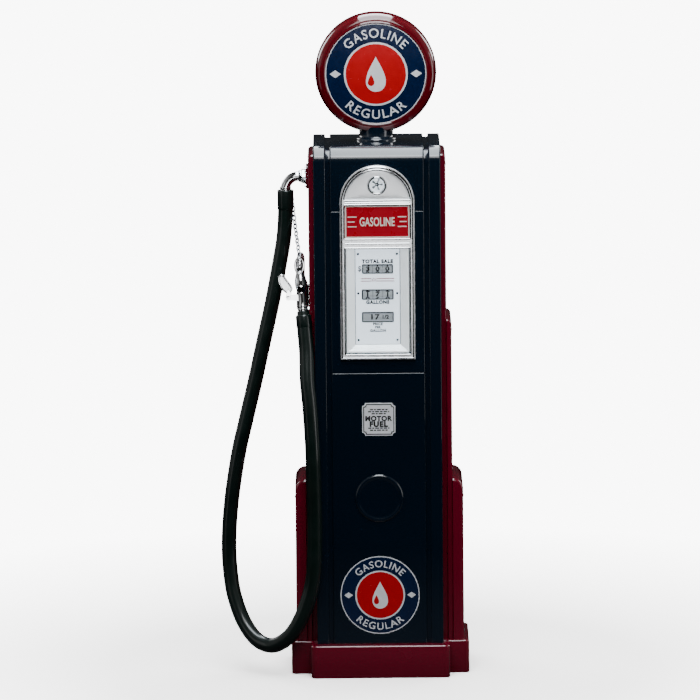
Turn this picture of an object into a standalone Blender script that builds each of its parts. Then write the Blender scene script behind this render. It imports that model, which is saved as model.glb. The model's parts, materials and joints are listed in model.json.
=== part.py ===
"""Tall kerbside fuel dispenser with a lit globe, a computing dial, a hose and a nozzle.

Metres, +Z up, front faces -Y, origin at the centre of the base underside on the floor.
"""
from math import asin, cos, pi, radians, sin

import bmesh
import bpy
from mathutils import Matrix, Vector

# ---------------------------------------------------------------- driving dimensions
GAP = 0.0004            # running gap between neighbouring pieces
SHEET = 0.003           # pressed sheet thickness

BASE_H = 0.112          # plinth height
BASE_BLOCK = (0.235, 0.240)   # half width, half depth of the centre block
BASE_WING = (0.302, 0.155)    # half width, half depth of the wings
BASE_WALL = 0.006

BODY_X = 0.214          # half width of the painted body
BODY_Y = 0.200          # half depth of the painted body
BODY_TOP = 1.811
SHOULDER_R = 0.050
PANEL_X = 0.158         # half width of the centre panels
BAND_X = 0.174          # inner edge of the corner bands
GROOVE = 0.011          # depth of the groove between them
SEAM_LOW = 1.042        # joint between lower door and dial door
SEAM_HIGH = 1.593       # joint between dial door and hood panel

CASINGS = (             # side casings: inner X, outer X, half depth, top Z, top radius
    ("upper", 0.2143, 0.2320, 0.125, 1.775, 0.012),
    ("middle", 0.2324, 0.2490, 0.135, 1.212, 0.0155),
    ("lower", 0.2494, 0.2850, 0.145, 0.668, 0.0345),
)

BEZEL_X = 0.126
BEZEL_BOTTOM = 1.090
BEZEL_SPRING = 1.624    # centre height of the arch
BEZEL_T = 0.016
DIAL_WINDOW = (0.1105, 1.106, 1.470)   # half width, bottom, top
AD_WINDOW = (0.1120, 1.500, 1.617)
LUNETTE_SILL = 1.631
SIGHT_Z = 1.682
SIGHT_R = 0.0235

PLATE_X = 0.0765        # dial plate half width
PLATE_Z = (1.137, 1.464)
PLATE_Y = -0.1855       # front face of the dial plate
SALE_Z = 1.395
GALLONS_Z = 1.308
PRICE_Z = 1.231
DRUM_R = 0.026
DRUM_Y = -0.1565
SHAFT_R = 0.0050

GLOBE_Z = 2.040
GLOBE_R = 0.205
LENS_R = 0.1715
LENS_Y = 0.056

OUTLET_Z = 1.688
PIPE_R = 0.016
ELBOW_R = 0.045
ELBOW_X = -0.309
HOSE_R = 0.0255
NOZZLE_IN = Vector((-0.2520, -0.1650, 1.2500))
NOZZLE_TOP = Vector((-0.2620, -0.1420, 1.3850))
BOOT_AT = Vector((-0.2560, -0.0750, 1.2400))
LEVER_PIVOT = Vector((-0.3020, -0.1552, 1.2950))

MOTOR_Z = 0.300
PUMP_Z = 0.580
PULLEY_X = -0.085
MOTOR_PULLEY_R = 0.035
PUMP_PULLEY_R = 0.070
METER_Z = 0.860

NAVY = (0.004, 0.012, 0.022)
MAROON = (0.110, 0.004, 0.012)
CHROME = (0.80, 0.80, 0.80)
STEEL = (0.25, 0.26, 0.27)
RUBBER = (0.006, 0.012, 0.010)
CAST = (0.10, 0.11, 0.12)
CREAM = (0.78, 0.80, 0.84)

FRONT = Vector((0, -1, 0))
BACK = Vector((0, 1, 0))
RIGHT = Vector((1, 0, 0))
UP = Vector((0, 0, 1))


# ---------------------------------------------------------------- helpers
def clear_scene():
    for ob in list(bpy.data.objects):
        bpy.data.objects.remove(ob, do_unlink=True)


def collection(name):
    col = bpy.data.collections.new(name)
    bpy.context.scene.collection.children.link(col)
    return col


clear_scene()
PARTS = collection("Fuel dispenser")
CUTTERS = collection("Cutters")


def paint(ob, colour, metallic=0.0, roughness=0.35, transmission=0.0):
    mat = bpy.data.materials.new(ob.name + " finish")
    mat.use_nodes = True
    shader = mat.node_tree.nodes["Principled BSDF"]
    shader.inputs["Base Color"].default_value = (*colour, 1.0)
    shader.inputs["Metallic"].default_value = metallic
    shader.inputs["Roughness"].default_value = roughness
    shader.inputs["Transmission Weight"].default_value = transmission
    ob.data.materials.clear()
    ob.data.materials.append(mat)
    return ob


def add(name, mesh, location=(0, 0, 0), cutter=False):
    ob = bpy.data.objects.new(name, mesh)
    ob.location = location
    if cutter:
        CUTTERS.objects.link(ob)
        ob.hide_render = True
        ob.display_type = "WIRE"
    else:
        PARTS.objects.link(ob)
    bpy.context.view_layer.update()
    return ob


def set_origin(ob, point):
    """Move the object's origin to a world point without moving its shape."""
    shift = ob.matrix_world.inverted() @ Vector(point)
    ob.data.transform(Matrix.Translation(-shift))
    ob.location = Vector(point)
    bpy.context.view_layer.update()
    return ob


def box(name, lo, hi, cutter=False):
    size = [b - a for a, b in zip(lo, hi)]
    middle = [(a + b) / 2 for a, b in zip(lo, hi)]
    bm = bmesh.new()
    bmesh.ops.create_cube(bm, size=1.0, matrix=Matrix.Diagonal((*size, 1.0)))
    mesh = bpy.data.meshes.new(name)
    bm.to_mesh(mesh)
    bm.free()
    return add(name, mesh, middle, cutter)


def boxes(name, ranges, cutter=False):
    """Several separate boxes in one mesh, for cutting or joining in one go."""
    bm = bmesh.new()
    for lo, hi in ranges:
        size = [b - a for a, b in zip(lo, hi)]
        middle = [(a + b) / 2 for a, b in zip(lo, hi)]
        place = Matrix.Translation(middle) @ Matrix.Diagonal((*size, 1.0))
        bmesh.ops.create_cube(bm, size=1.0, matrix=place)
    mesh = bpy.data.meshes.new(name)
    bm.to_mesh(mesh)
    bm.free()
    return add(name, mesh, (0, 0, 0), cutter)


def rod(name, start, end, r, r_end=None, segs=24, cutter=False):
    start, end = Vector(start), Vector(end)
    span = end - start
    turn = UP.rotation_difference(span).to_matrix().to_4x4()
    bm = bmesh.new()
    bmesh.ops.create_cone(bm, cap_ends=True, segments=segs, radius1=r,
                          radius2=r if r_end is None else r_end, depth=span.length)
    bm.transform(turn)
    mesh = bpy.data.meshes.new(name)
    bm.to_mesh(mesh)
    bm.free()
    return add(name, mesh, (start + end) / 2, cutter)


def rods(name, spans, r, segs=16, cutter=False):
    """Several separate cylinders in one mesh."""
    bm = bmesh.new()
    for start, end in spans:
        start, end = Vector(start), Vector(end)
        span = end - start
        turn = UP.rotation_difference(span).to_matrix().to_4x4()
        place = Matrix.Translation((start + end) / 2) @ turn
        bmesh.ops.create_cone(bm, cap_ends=True, segments=segs, radius1=r, radius2=r,
                              depth=span.length, matrix=place)
    mesh = bpy.data.meshes.new(name)
    bm.to_mesh(mesh)
    bm.free()
    return add(name, mesh, (0, 0, 0), cutter)


def to_mesh(ob):
    """Turn a curve object into a mesh object with its world placement baked in."""
    bpy.context.view_layer.update()
    graph = bpy.context.evaluated_depsgraph_get()
    mesh = bpy.data.meshes.new_from_object(ob.evaluated_get(graph))
    mesh.transform(ob.matrix_world)
    bm = bmesh.new()
    bm.from_mesh(mesh)
    bmesh.ops.remove_doubles(bm, verts=bm.verts, dist=0.000001)
    bmesh.ops.recalc_face_normals(bm, faces=bm.faces)
    bm.to_mesh(mesh)
    bm.free()
    name = ob.name
    bpy.data.objects.remove(ob, do_unlink=True)
    mesh.name = name
    return name, mesh


def sheet(name, loops, plane, lo, hi, cutter=False):
    """A flat outline (outer loop first, then holes) pushed through from lo to hi."""
    curve = bpy.data.curves.new(name, "CURVE")
    curve.dimensions = "2D"
    curve.fill_mode = "BOTH"
    curve.extrude = (hi - lo) / 2
    for loop in loops:
        spline = curve.splines.new("POLY")
        spline.points.add(len(loop) - 1)
        for point, (a, b) in zip(spline.points, loop):
            point.co = (a, b, 0.0, 1.0)
        spline.use_cyclic_u = True
    ob = bpy.data.objects.new(name, curve)
    PARTS.objects.link(ob)
    middle = (lo + hi) / 2
    if plane == "XZ":
        ob.rotation_euler = (pi / 2, 0, 0)
        ob.location = (0, middle, 0)
    elif plane == "YZ":
        ob.rotation_euler = (pi / 2, 0, pi / 2)
        ob.location = (middle, 0, 0)
    else:
        ob.location = (0, 0, middle)
    name, mesh = to_mesh(ob)
    return add(name, mesh, (0, 0, 0), cutter)


def tube(name, points, r, fineness=2, cutter=False):
    curve = bpy.data.curves.new(name, "CURVE")
    curve.dimensions = "3D"
    curve.bevel_depth = r
    curve.bevel_resolution = fineness
    curve.use_fill_caps = True
    spline = curve.splines.new("POLY")
    spline.points.add(len(points) - 1)
    for point, place in zip(spline.points, points):
        point.co = (*place, 1.0)
    ob = bpy.data.objects.new(name, curve)
    PARTS.objects.link(ob)
    name, mesh = to_mesh(ob)
    return add(name, mesh, (0, 0, 0), cutter)


def turned(name, profile, place, axis, steps=32, ring=False, cutter=False):
    """Turn (radius, height) points round an axis; the outer side runs top to bottom."""
    mesh = bpy.data.meshes.new(name)
    edges = [(i, i + 1) for i in range(len(profile) - 1)]
    if ring:
        edges.append((len(profile) - 1, 0))
    mesh.from_pydata([(r, 0.0, h) for r, h in profile], edges, [])
    ob = add(name, mesh, place, cutter)
    ob.rotation_euler = UP.rotation_difference(Vector(axis)).to_euler()
    screw = ob.modifiers.new("Turn", "SCREW")
    screw.axis = "Z"
    screw.angle = 2 * pi
    screw.steps = steps
    screw.render_steps = steps
    screw.use_merge_vertices = True
    screw.merge_threshold = 0.00005
    bpy.context.view_layer.update()
    return ob


def boolean(ob, other, operation="DIFFERENCE"):
    mod = ob.modifiers.new(operation.title(), "BOOLEAN")
    mod.operation = operation
    mod.solver = "EXACT"
    mod.object = other
    return ob


def bevel(ob, width, segments=2, angle=40.0):
    mod = ob.modifiers.new("Edge", "BEVEL")
    mod.width = width
    mod.segments = segments
    mod.limit_method = "ANGLE"
    mod.angle_limit = radians(angle)
    return ob


def smooth(ob, angle=35.0):
    for poly in ob.data.polygons:
        poly.use_smooth = True
    if ob.data.polygons:
        ob.data.set_sharp_from_angle(angle=radians(angle))
    return ob


def arc(cx, cy, r, start, end, n):
    out = []
    for i in range(n + 1):
        a = radians(start + (end - start) * i / n)
        out.append((cx + r * cos(a), cy + r * sin(a)))
    return out


def circle(cx, cy, r, n):
    return [(cx + r * cos(2 * pi * i / n), cy + r * sin(2 * pi * i / n)) for i in range(n)]


def rectangle(x0, x1, y0, y1):
    return [(x0, y0), (x1, y0), (x1, y1), (x0, y1)]


def smooth_path(points, per_span):
    """Catmull-Rom path through the points."""
    pts = [Vector(p) for p in points]
    pts = [2 * pts[0] - pts[1]] + pts + [2 * pts[-1] - pts[-2]]
    out = []
    for i in range(1, len(pts) - 2):
        p0, p1, p2, p3 = pts[i - 1:i + 3]
        for k in range(per_span):
            t = k / per_span
            a = -p0 + 3 * p1 - 3 * p2 + p3
            b = 2 * p0 - 5 * p1 + 4 * p2 - p3
            c = p2 - p0
            out.append(0.5 * (a * t ** 3 + b * t ** 2 + c * t + 2 * p1))
    out.append(pts[-2])
    return out


# ---------------------------------------------------------------- base and frame
def block_outline(inset):
    x, y = BASE_BLOCK[0] - inset, BASE_BLOCK[1] - inset
    c = 0.014
    return [(x - c, -y), (x, -y + c), (x, y - c), (x - c, y),
            (-x + c, y), (-x, y - c), (-x, -y + c), (-x + c, -y)]


def base_solid(name, inset, bottom, top, cutter=False):
    """Centre block and wings joined."""
    x, y = BASE_WING[0] - inset, BASE_WING[1] - inset
    ob = sheet(name, [block_outline(inset)], "XY", bottom, top, cutter)
    wings = box(name + " wings", (-x, -y, bottom), (x, y, top), cutter=True)
    return boolean(ob, wings, "UNION")


def base_plinth():
    ob = base_solid("base_plinth", 0.0, 0.0, BASE_H)
    hollow = base_solid("plinth hollow", BASE_WALL, -0.01, BASE_H - BASE_WALL, cutter=True)
    opening = box("plinth opening", (-0.206, -0.182, 0.05), (0.206, 0.182, 0.2), cutter=True)
    boolean(ob, hollow)
    boolean(ob, opening)
    bevel(ob, 0.004, 1, 60)
    paint(ob, MAROON)


def base_plate():
    ob = base_solid("base_plate", BASE_WALL + GAP, 0.0, 0.010)
    holes = rods("anchor holes", [((x, y, -0.01), (x, y, 0.03))
                                  for x in (-0.26, 0.26) for y in (-0.11, 0.11)],
                 0.0085, segs=12, cutter=True)
    pipes = rods("pipe openings", [((0.09, 0.135, -0.01), (0.09, 0.135, 0.03)),
                                   ((-0.12, 0.10, -0.01), (-0.12, 0.10, 0.03))],
                 0.030, segs=16, cutter=True)
    boolean(ob, holes)
    boolean(ob, pipes)
    paint(ob, STEEL, 1.0, 0.5)


def frame():
    x, y = 0.204, 0.180
    top = 1.755
    ob = box("frame", (-x, -y, 0.0104), (x, y, top))
    inside = box("frame inside", (-x + 0.004, -y + 0.004, -0.1), (x - 0.004, y - 0.004, 2.0),
                 cutter=True)
    levels = (0.050, 0.190, 0.450, 0.740, 1.068, 1.720)
    rail = 0.025
    spans = [(a + rail, b) for a, b in zip(levels[:-1], levels[1:])]
    side = boxes("frame side windows",
                 [((-0.3, -y + rail, a), (0.3, y - rail, b)) for a, b in spans], cutter=True)
    front = boxes("frame front windows",
                  [((-x + rail, -0.3, a), (x - rail, 0.3, b)) for a, b in spans], cutter=True)
    foot = boxes("frame foot windows",
                 [((-x + rail, -0.3, 0.014), (x - rail, 0.3, 0.050)),
                  ((-0.3, -y + rail, 0.014), (0.3, y - rail, 0.050))], cutter=True)
    shelf = boxes("frame shelves",
                  [((-x + 0.002, -0.095, z), (x - 0.002, 0.095, z + 0.006))
                   for z in (0.195, 0.455, 0.745, 1.090)], cutter=True)
    slots = boxes("frame shelf slots",
                  [((PULLEY_X - 0.016, -0.085, 0.44), (PULLEY_X + 0.016, 0.085, 0.48)),
                   ((-0.011, -0.065, 1.08), (0.011, -0.043, 1.11))], cutter=True)
    boolean(ob, inside)
    boolean(ob, side)
    boolean(ob, front)
    boolean(ob, foot)
    boolean(ob, shelf, "UNION")
    boolean(ob, slots)
    paint(ob, CAST, 0.3, 0.6)


# ---------------------------------------------------------------- painted body
def silhouette(inset, bottom):
    """Side view of the body, shrunk by inset all round but at the bottom."""
    y, top, r = BODY_Y - inset, BODY_TOP - inset, max(SHOULDER_R - inset, 0.004)
    return ([(-y, bottom), (y, bottom)] + arc(y - r, top - r, r, 0, 90, 5)
            + arc(-y + r, top - r, r, 90, 180, 5))


def side_shell(side):
    name = "left_shell" if side < 0 else "right_shell"
    low = BASE_H + GAP

    def part(label, inset, bottom, a, b, cutter=True):
        lo, hi = sorted((side * a, side * b))
        return sheet(label, [silhouette(inset, bottom)], "YZ", lo, hi, cutter)

    ob = part(name, 0.0, low, BAND_X, BODY_X, cutter=False)
    boolean(ob, part(name + " hollow", SHEET, low - 0.01, BAND_X + SHEET, BODY_X - SHEET))
    boolean(ob, part(name + " mouth", GROOVE + SHEET, low - 0.02, BAND_X - 0.01, BAND_X + 0.008))
    flange = part(name + " flange", GROOVE, low, 0.148, BAND_X + 0.001)
    boolean(flange, part(name + " flange hollow", GROOVE + SHEET, low - 0.01, 0.14, 0.19))
    boolean(ob, flange, "UNION")
    if side < 0:
        boolean(ob, rod("left shell pipe hole", (-0.19, 0, OUTLET_Z), (-0.25, 0, OUTLET_Z),
                        PIPE_R + 0.002, segs=20, cutter=True))
    paint(ob, NAVY, 0.0, 0.2)
    return ob


def centre_panel(name, bottom, top, facing):
    """A flat pan with returned edges; facing -1 is the front, +1 the back."""
    y0, y1 = BODY_Y - GROOVE + GAP, BODY_Y
    lo, hi = sorted((facing * y0, facing * y1))
    ob = box(name, (-PANEL_X, lo, bottom), (PANEL_X, hi, top))
    deep = sorted((facing * (y0 - 0.01), facing * (y1 - SHEET)))
    pocket = box(name + " pocket", (-PANEL_X + SHEET, deep[0], bottom + SHEET),
                 (PANEL_X - SHEET, deep[1], top - SHEET), cutter=True)
    boolean(ob, pocket)
    return ob


def hood_panel():
    low = SEAM_HIGH + 0.0008
    ob = sheet("hood_panel", [silhouette(0.0, low)], "YZ", -PANEL_X, PANEL_X)
    hollow = sheet("hood hollow", [silhouette(SHEET, low - 0.02)], "YZ", -PANEL_X + SHEET,
                   PANEL_X - SHEET, cutter=True)
    mouth = sheet("hood mouth", [silhouette(GROOVE - GAP, low - 0.03)], "YZ", -0.2, 0.2,
                  cutter=True)
    wire = rod("hood wire hole", (0, 0, 1.75), (0, 0, 1.85), 0.022, cutter=True)
    sight = rod("hood sight hole", (0, -0.25, SIGHT_Z), (0, -0.17, SIGHT_Z), 0.0335,
                segs=28, cutter=True)
    boolean(ob, hollow)
    boolean(ob, mouth)
    boolean(ob, wire)
    boolean(ob, sight)
    paint(ob, NAVY, 0.0, 0.2)


def dial_door():
    ob = centre_panel("dial_door", SEAM_LOW + 0.0008, SEAM_HIGH - 0.0008, -1)
    window = box("dial door window", (-0.106, -0.25, 1.112), (0.106, -0.15, 1.580),
                 cutter=True)
    boolean(ob, window)
    bevel(ob, 0.001, 1, 60)
    set_origin(ob, (PANEL_X, -BODY_Y, 1.3))
    paint(ob, NAVY, 0.0, 0.2)


def lower_door():
    ob = centre_panel("lower_door", BASE_H + 0.0012, SEAM_LOW - 0.0008, -1)
    hole = rod("lower door hole", (0, -0.25, 0.613), (0, -0.15, 0.613), 0.064, segs=32,
               cutter=True)
    boolean(ob, hole)
    bevel(ob, 0.001, 1, 60)
    paint(ob, NAVY, 0.0, 0.2)


def access_cover():
    profile = [(0.0, 0.0035), (0.066, 0.0035), (0.068, 0.006), (0.078, 0.006), (0.0815, 0.004),
               (0.0815, 0.0), (0.063, 0.0), (0.063, -0.008), (0.0, -0.008)]
    ob = turned("access_cover", profile, (0, -BODY_Y - GAP, 0.613), FRONT, 32)
    paint(ob, NAVY, 0.0, 0.25)


def label_plate():
    ob = box("label_plate", (-0.056, -BODY_Y - GAP - 0.0016, 0.828),
             (0.056, -BODY_Y - GAP, 0.940))
    paint(ob, CREAM)


def rear_panels():
    ob = centre_panel("rear_upper_panel", SEAM_LOW + 0.0008, SEAM_HIGH - 0.0008, 1)
    bevel(ob, 0.001, 1, 60)
    paint(ob, NAVY, 0.0, 0.2)
    ob = centre_panel("rear_lower_door", BASE_H + 0.0012, SEAM_LOW - 0.0008, 1)
    slots = boxes("rear door louvres",
                  [((-0.09, 0.15, 0.26 + 0.03 * i), (0.09, 0.25, 0.268 + 0.03 * i))
                   for i in range(6)], cutter=True)
    boolean(ob, slots)
    bevel(ob, 0.001, 1, 60)
    paint(ob, NAVY, 0.0, 0.2)


def side_casing(side, label, inner, outer, depth, top, radius):
    name = ("left_" if side < 0 else "right_") + label + "_casing"
    low = BASE_H + GAP

    def section(x0, x1, bottom, t, r):
        pts = [(x0, bottom), (x1, bottom)] + arc(x1 - r, t - r, r, 0, 90, 6) + [(x0, t)]
        return [(side * x, z) for x, z in pts]

    ob = sheet(name, [section(inner, outer, low, top, radius)], "XZ", -depth, depth)
    hollow = sheet(name + " hollow",
                   [section(inner - 0.01, outer - SHEET, low - 0.01, top - SHEET,
                            radius - SHEET)],
                   "XZ", -depth + SHEET, depth - SHEET, cutter=True)
    boolean(ob, hollow)
    if side < 0 and label == "upper":
        boolean(ob, rod("left casing pipe hole", (-0.20, 0, OUTLET_Z), (-0.25, 0, OUTLET_Z),
                        PIPE_R + 0.002, segs=20, cutter=True))
    bevel(ob, 0.003, 1, 60)
    paint(ob, MAROON)


# ---------------------------------------------------------------- dial window
def arch(half, bottom, spring, n):
    return [(-half, bottom), (half, bottom)] + arc(0, spring, half, 0, 180, n)


def bezel():
    w, a = DIAL_WINDOW, AD_WINDOW
    loops = [arch(BEZEL_X, BEZEL_BOTTOM, BEZEL_SPRING, 24),
             rectangle(-w[0], w[0], w[1], w[2]),
             rectangle(-a[0], a[0], a[1], a[2]),
             circle(0, SIGHT_Z, 0.0325, 24)]
    ob = sheet("bezel", loops, "XZ", -BODY_Y - GAP - BEZEL_T, -BODY_Y - GAP)
    rise = asin((LUNETTE_SILL - BEZEL_SPRING) / 0.112) * 180 / pi
    recess = sheet("bezel lunette recess", [arc(0, BEZEL_SPRING, 0.112, rise, 180 - rise, 20)],
                   "XZ", -0.25, -BODY_Y - GAP - 0.010, cutter=True)
    boolean(ob, recess)
    bevel(ob, 0.002, 1, 60)
    paint(ob, CHROME, 1.0, 0.1)


def ad_glass():
    a = AD_WINDOW
    ob = box("ad_glass", (-a[0] + GAP, -BODY_Y - GAP - 0.008, a[1] + GAP),
             (a[0] - GAP, -BODY_Y - GAP - 0.003, a[2] - GAP))
    paint(ob, (0.62, 0.03, 0.02), 0.0, 0.1)


def dial_glass():
    w = DIAL_WINDOW
    ob = box("dial_glass", (-w[0] + GAP, -BODY_Y - 0.008, w[1] + GAP),
             (w[0] - GAP, -BODY_Y - 0.005, w[2] - GAP))
    paint(ob, (0.9, 0.95, 0.95), 0.0, 0.02, 1.0)


def dial_mask():
    """Sloped frame leading from the door window in to the dial plate."""
    ob = box("dial_mask", (-0.105, -0.2044, 1.1125), (0.105, -0.1875, 1.4692))
    w, wide = PLATE_X - 0.001, 0.101
    bm = bmesh.new()
    bmesh.ops.create_cube(bm, size=2.0)
    for v in bm.verts:
        near = v.co.y < 0
        half = wide if near else w
        low = 1.1165 if near else PLATE_Z[0] + 0.001
        high = 1.4662 if near else PLATE_Z[1] - 0.001
        v.co = (half * v.co.x, -0.2050 if near else -0.1870, low if v.co.z < 0 else high)
    mesh = bpy.data.meshes.new("mask taper")
    bm.to_mesh(mesh)
    bm.free()
    boolean(ob, add("mask taper", mesh, cutter=True))
    paint(ob, CHROME, 1.0, 0.2)


def dial_plate():
    x, z = PLATE_X, PLATE_Z
    loops = [rectangle(-x, x, z[0], z[1]),
             rectangle(-0.0495, 0.0495, SALE_Z - 0.0135, SALE_Z + 0.0135),
             rectangle(-0.0510, 0.0510, GALLONS_Z - 0.0150, GALLONS_Z + 0.0150),
             rectangle(-0.0510, 0.0510, PRICE_Z - 0.0150, PRICE_Z + 0.0150)]
    ob = sheet("dial_plate", loops, "XZ", PLATE_Y, PLATE_Y + 0.0016)
    paint(ob, CREAM, 0.0, 0.3)


def computer_frame():
    """Open cage behind the dial plate that carries the number drums."""
    y0, y1 = PLATE_Y + 0.0016 + GAP, -0.070
    ob = box("computer_frame", (-0.100, y0, 1.0964), (0.100, y1, PLATE_Z[1]))
    inside = box("computer inside", (-0.060, y0 - 0.01, 1.110), (0.060, -0.080, 1.452),
                 cutter=True)
    shafts = rods("computer shafts",
                  [((-0.062, DRUM_Y, z), (0.062, DRUM_Y, z))
                   for z in (SALE_Z, GALLONS_Z, PRICE_Z)], SHAFT_R, cutter=True)
    lighten = boxes("computer sides", [((0.075, y0 + 0.02, 1.13), (0.12, y1 - 0.02, 1.43)),
                                       ((-0.12, y0 + 0.02, 1.13), (-0.075, y1 - 0.02, 1.43))],
                    cutter=True)
    bore = rod("computer drive hole", (0, -0.054 - 0.02, 1.05), (0, -0.054 - 0.02, 1.12),
               0.008, cutter=True)
    boolean(ob, inside)
    boolean(ob, lighten)
    boolean(ob, shafts, "UNION")
    boolean(ob, bore)
    paint(ob, CAST, 0.4, 0.5)


def drum(name, x0, x1, z):
    ob = sheet(name, [circle(DRUM_Y, z, DRUM_R, 20), circle(DRUM_Y, z, SHAFT_R + GAP, 10)],
               "YZ", x0, x1)
    set_origin(ob, ((x0 + x1) / 2, DRUM_Y, z))
    smooth(ob)
    paint(ob, (0.01, 0.01, 0.01), 0.0, 0.45)


def drums():
    for i, name in enumerate(("sale_dollars", "sale_dimes", "sale_cents")):
        drum(name, -0.0490 + 0.033 * i, -0.0490 + 0.033 * i + 0.0320, SALE_Z)
    for i, name in enumerate(("gallons_units", "gallons_tenths", "gallons_fine")):
        drum(name, -0.0500 + 0.0337 * i, -0.0500 + 0.0337 * i + 0.0327, GALLONS_Z)
    drum("price_wheel", -0.0500, 0.0500, PRICE_Z)


def drive_shaft():
    """Shaft from the meter up to the computer, with its flanged coupling at the bottom."""
    low = METER_Z + 0.081
    profile = [(0.0, 1.0960 - low), (0.006, 1.0960 - low), (0.006, 0.030), (0.012, 0.028),
               (0.012, 0.020), (0.024, 0.020), (0.024, 0.0), (0.0, 0.0)]
    ob = turned("drive_shaft", profile, (0, -0.054, low), UP, 20)
    paint(ob, STEEL, 1.0, 0.35)


def sight_glass():
    y = -BODY_Y - 0.006
    cup = [(0.0, -0.044), (SIGHT_R, -0.044), (SIGHT_R, 0.0), (0.0305, 0.0),
           (0.0315, -0.002), (0.0315, -0.050), (0.0, -0.050)]
    ob = turned("sight_housing", cup, (0, y - 0.006, SIGHT_Z), FRONT, 24)
    boolean(ob, rod("spinner pin", (0, -0.166, SIGHT_Z), (0, -0.1905, SIGHT_Z), 0.0018, segs=10,
                    cutter=True), "UNION")
    paint(ob, CHROME, 1.0, 0.15)
    r = SIGHT_R - GAP
    dome = [(0.0, 0.006), (0.35 * r, 0.0056), (0.7 * r, 0.0038), (r, 0.0), (r, -0.004),
            (0.0, -0.004)]
    ob = turned("sight_lens", dome, (0, y - 0.007, SIGHT_Z), FRONT, 24)
    paint(ob, (0.9, 0.95, 0.95), 0.0, 0.02, 1.0)
    blades = []
    for i in range(5):
        a = 72 * i
        blades += arc(0, SIGHT_Z, 0.0045, a - 26, a - 10, 1)
        blades += arc(0, SIGHT_Z, 0.0190, a - 5, a + 12, 1)
    ob = sheet("sight_spinner", [blades, circle(0, SIGHT_Z, 0.0023, 10)], "XZ", y + 0.012,
               y + 0.018)
    set_origin(ob, (0, y + 0.015, SIGHT_Z))
    paint(ob, (0.6, 0.04, 0.03), 0.0, 0.3)


# ---------------------------------------------------------------- globe
def globe_profile(grow):
    """Half section of the globe rim as (radius, distance along its axis), front to back."""
    r, w = GLOBE_R + grow, LENS_Y + 0.006 + grow
    return [(LENS_R + 0.006 + grow, w), (0.186 + grow, w - 0.002), (r - 0.006, w - 0.022),
            (r, w - 0.048), (r, -w + 0.048), (r - 0.006, -w + 0.022), (0.186 + grow, -w + 0.002),
            (LENS_R + 0.006 + grow, -w)]


def globe():
    seat = LENS_R + GAP
    inner = [(seat, -LENS_Y - 0.006), (seat, -LENS_Y + 0.008), (0.193, -0.045), (0.193, 0.045),
             (seat, LENS_Y - 0.008), (seat, LENS_Y + 0.006)]
    ob = turned("globe_body", globe_profile(0.0) + inner, (0, 0, GLOBE_Z), FRONT, 36, ring=True)
    hole = rod("globe lamp hole", (0, 0, 1.80), (0, 0, 1.90), 0.030, segs=24, cutter=True)
    boolean(ob, hole)
    paint(ob, (0.20, 0.006, 0.012), 0.0, 0.12)
    rise, t = 0.014, 0.005
    outer = [(LENS_R * f, rise * (1 - f * f)) for f in (0.0, 0.35, 0.7, 1.0)]
    back = [(LENS_R * f, rise * (1 - f * f) - t) for f in (1.0, 0.6, 0.0)]
    for name, way in (("front_lens", FRONT), ("back_lens", BACK)):
        ob = turned(name, outer + back, Vector((0, 0, GLOBE_Z)) + way * (LENS_Y - 0.002), way, 36)
        paint(ob, (0.75, 0.76, 0.78), 0.0, 0.1)


def globe_collar():
    profile = [(0.0, 0.060), (0.0575, 0.060), (0.0575, 0.012), (0.0600, 0.009),
               (0.0675, 0.006), (0.0675, 0.0), (0.0, 0.0)]
    ob = turned("globe_collar", profile, (0, 0, BODY_TOP + GAP), UP, 24)
    w = LENS_Y + 0.0068
    seat = turned("collar seat", [(0.0, w)] + globe_profile(0.0008) + [(0.0, -w)],
                  (0, 0, GLOBE_Z), FRONT, 72, cutter=True)
    bore = rod("collar bore", (0, 0, 1.80), (0, 0, 1.90), 0.026, cutter=True)
    boolean(ob, seat)
    boolean(ob, bore)
    paint(ob, NAVY, 0.0, 0.25)


def lamp():
    z = 1.795
    socket = [(0.0, 0.115), (0.0195, 0.115), (0.0195, 0.0), (0.0, 0.0)]
    ob = turned("lamp_socket", socket, (0, 0, z), UP, 20)
    paint(ob, (0.6, 0.58, 0.52), 0.0, 0.3)
    bulb = [(0.0, 0.115), (0.016, 0.110), (0.028, 0.095), (0.032, 0.075), (0.028, 0.052),
            (0.018, 0.030), (0.013, 0.010), (0.013, 0.0), (0.0, 0.0)]
    ob = turned("lamp_bulb", bulb, (0, 0, z + 0.115 + GAP), UP, 20)
    paint(ob, (0.95, 0.93, 0.85), 0.0, 0.1, 0.6)


# ---------------------------------------------------------------- hose outlet, hose and nozzle
def outlet():
    ob = sheet("outlet_flange", [[(y, z) for y, z in rounded_square(0.039, 0.010)],
                                 circle(0, OUTLET_Z, PIPE_R + 0.002, 20)], "YZ",
               -0.2320 - GAP - 0.007, -0.2320 - GAP)
    bevel(ob, 0.0015, 1, 60)
    paint(ob, MAROON)
    x = -0.2394 - GAP
    ob = sheet("outlet_nut", [circle(0, OUTLET_Z, 0.0265, 6),
                              circle(0, OUTLET_Z, PIPE_R + 0.0008, 20)], "YZ", x - 0.015, x)
    bevel(ob, 0.002, 1, 50)
    paint(ob, CHROME, 1.0, 0.1)


def rounded_square(half, r):
    out = []
    for i, (sx, sz) in enumerate(((1, 1), (-1, 1), (-1, -1), (1, -1))):
        out += arc(sx * (half - r), OUTLET_Z + sz * (half - r), r, 90 * i, 90 * i + 90, 4)
    return out


def elbow():
    bend = [(ELBOW_X + ELBOW_R + ELBOW_R * cos(radians(a)), 0,
             OUTLET_Z - ELBOW_R + ELBOW_R * sin(radians(a))) for a in range(90, 181, 10)]
    ob = tube("outlet_elbow", [(-0.196, 0, OUTLET_Z)] + bend + [(ELBOW_X, 0, 1.6400)],
              PIPE_R, 4)
    smooth(ob)
    paint(ob, CHROME, 1.0, 0.1)


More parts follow.
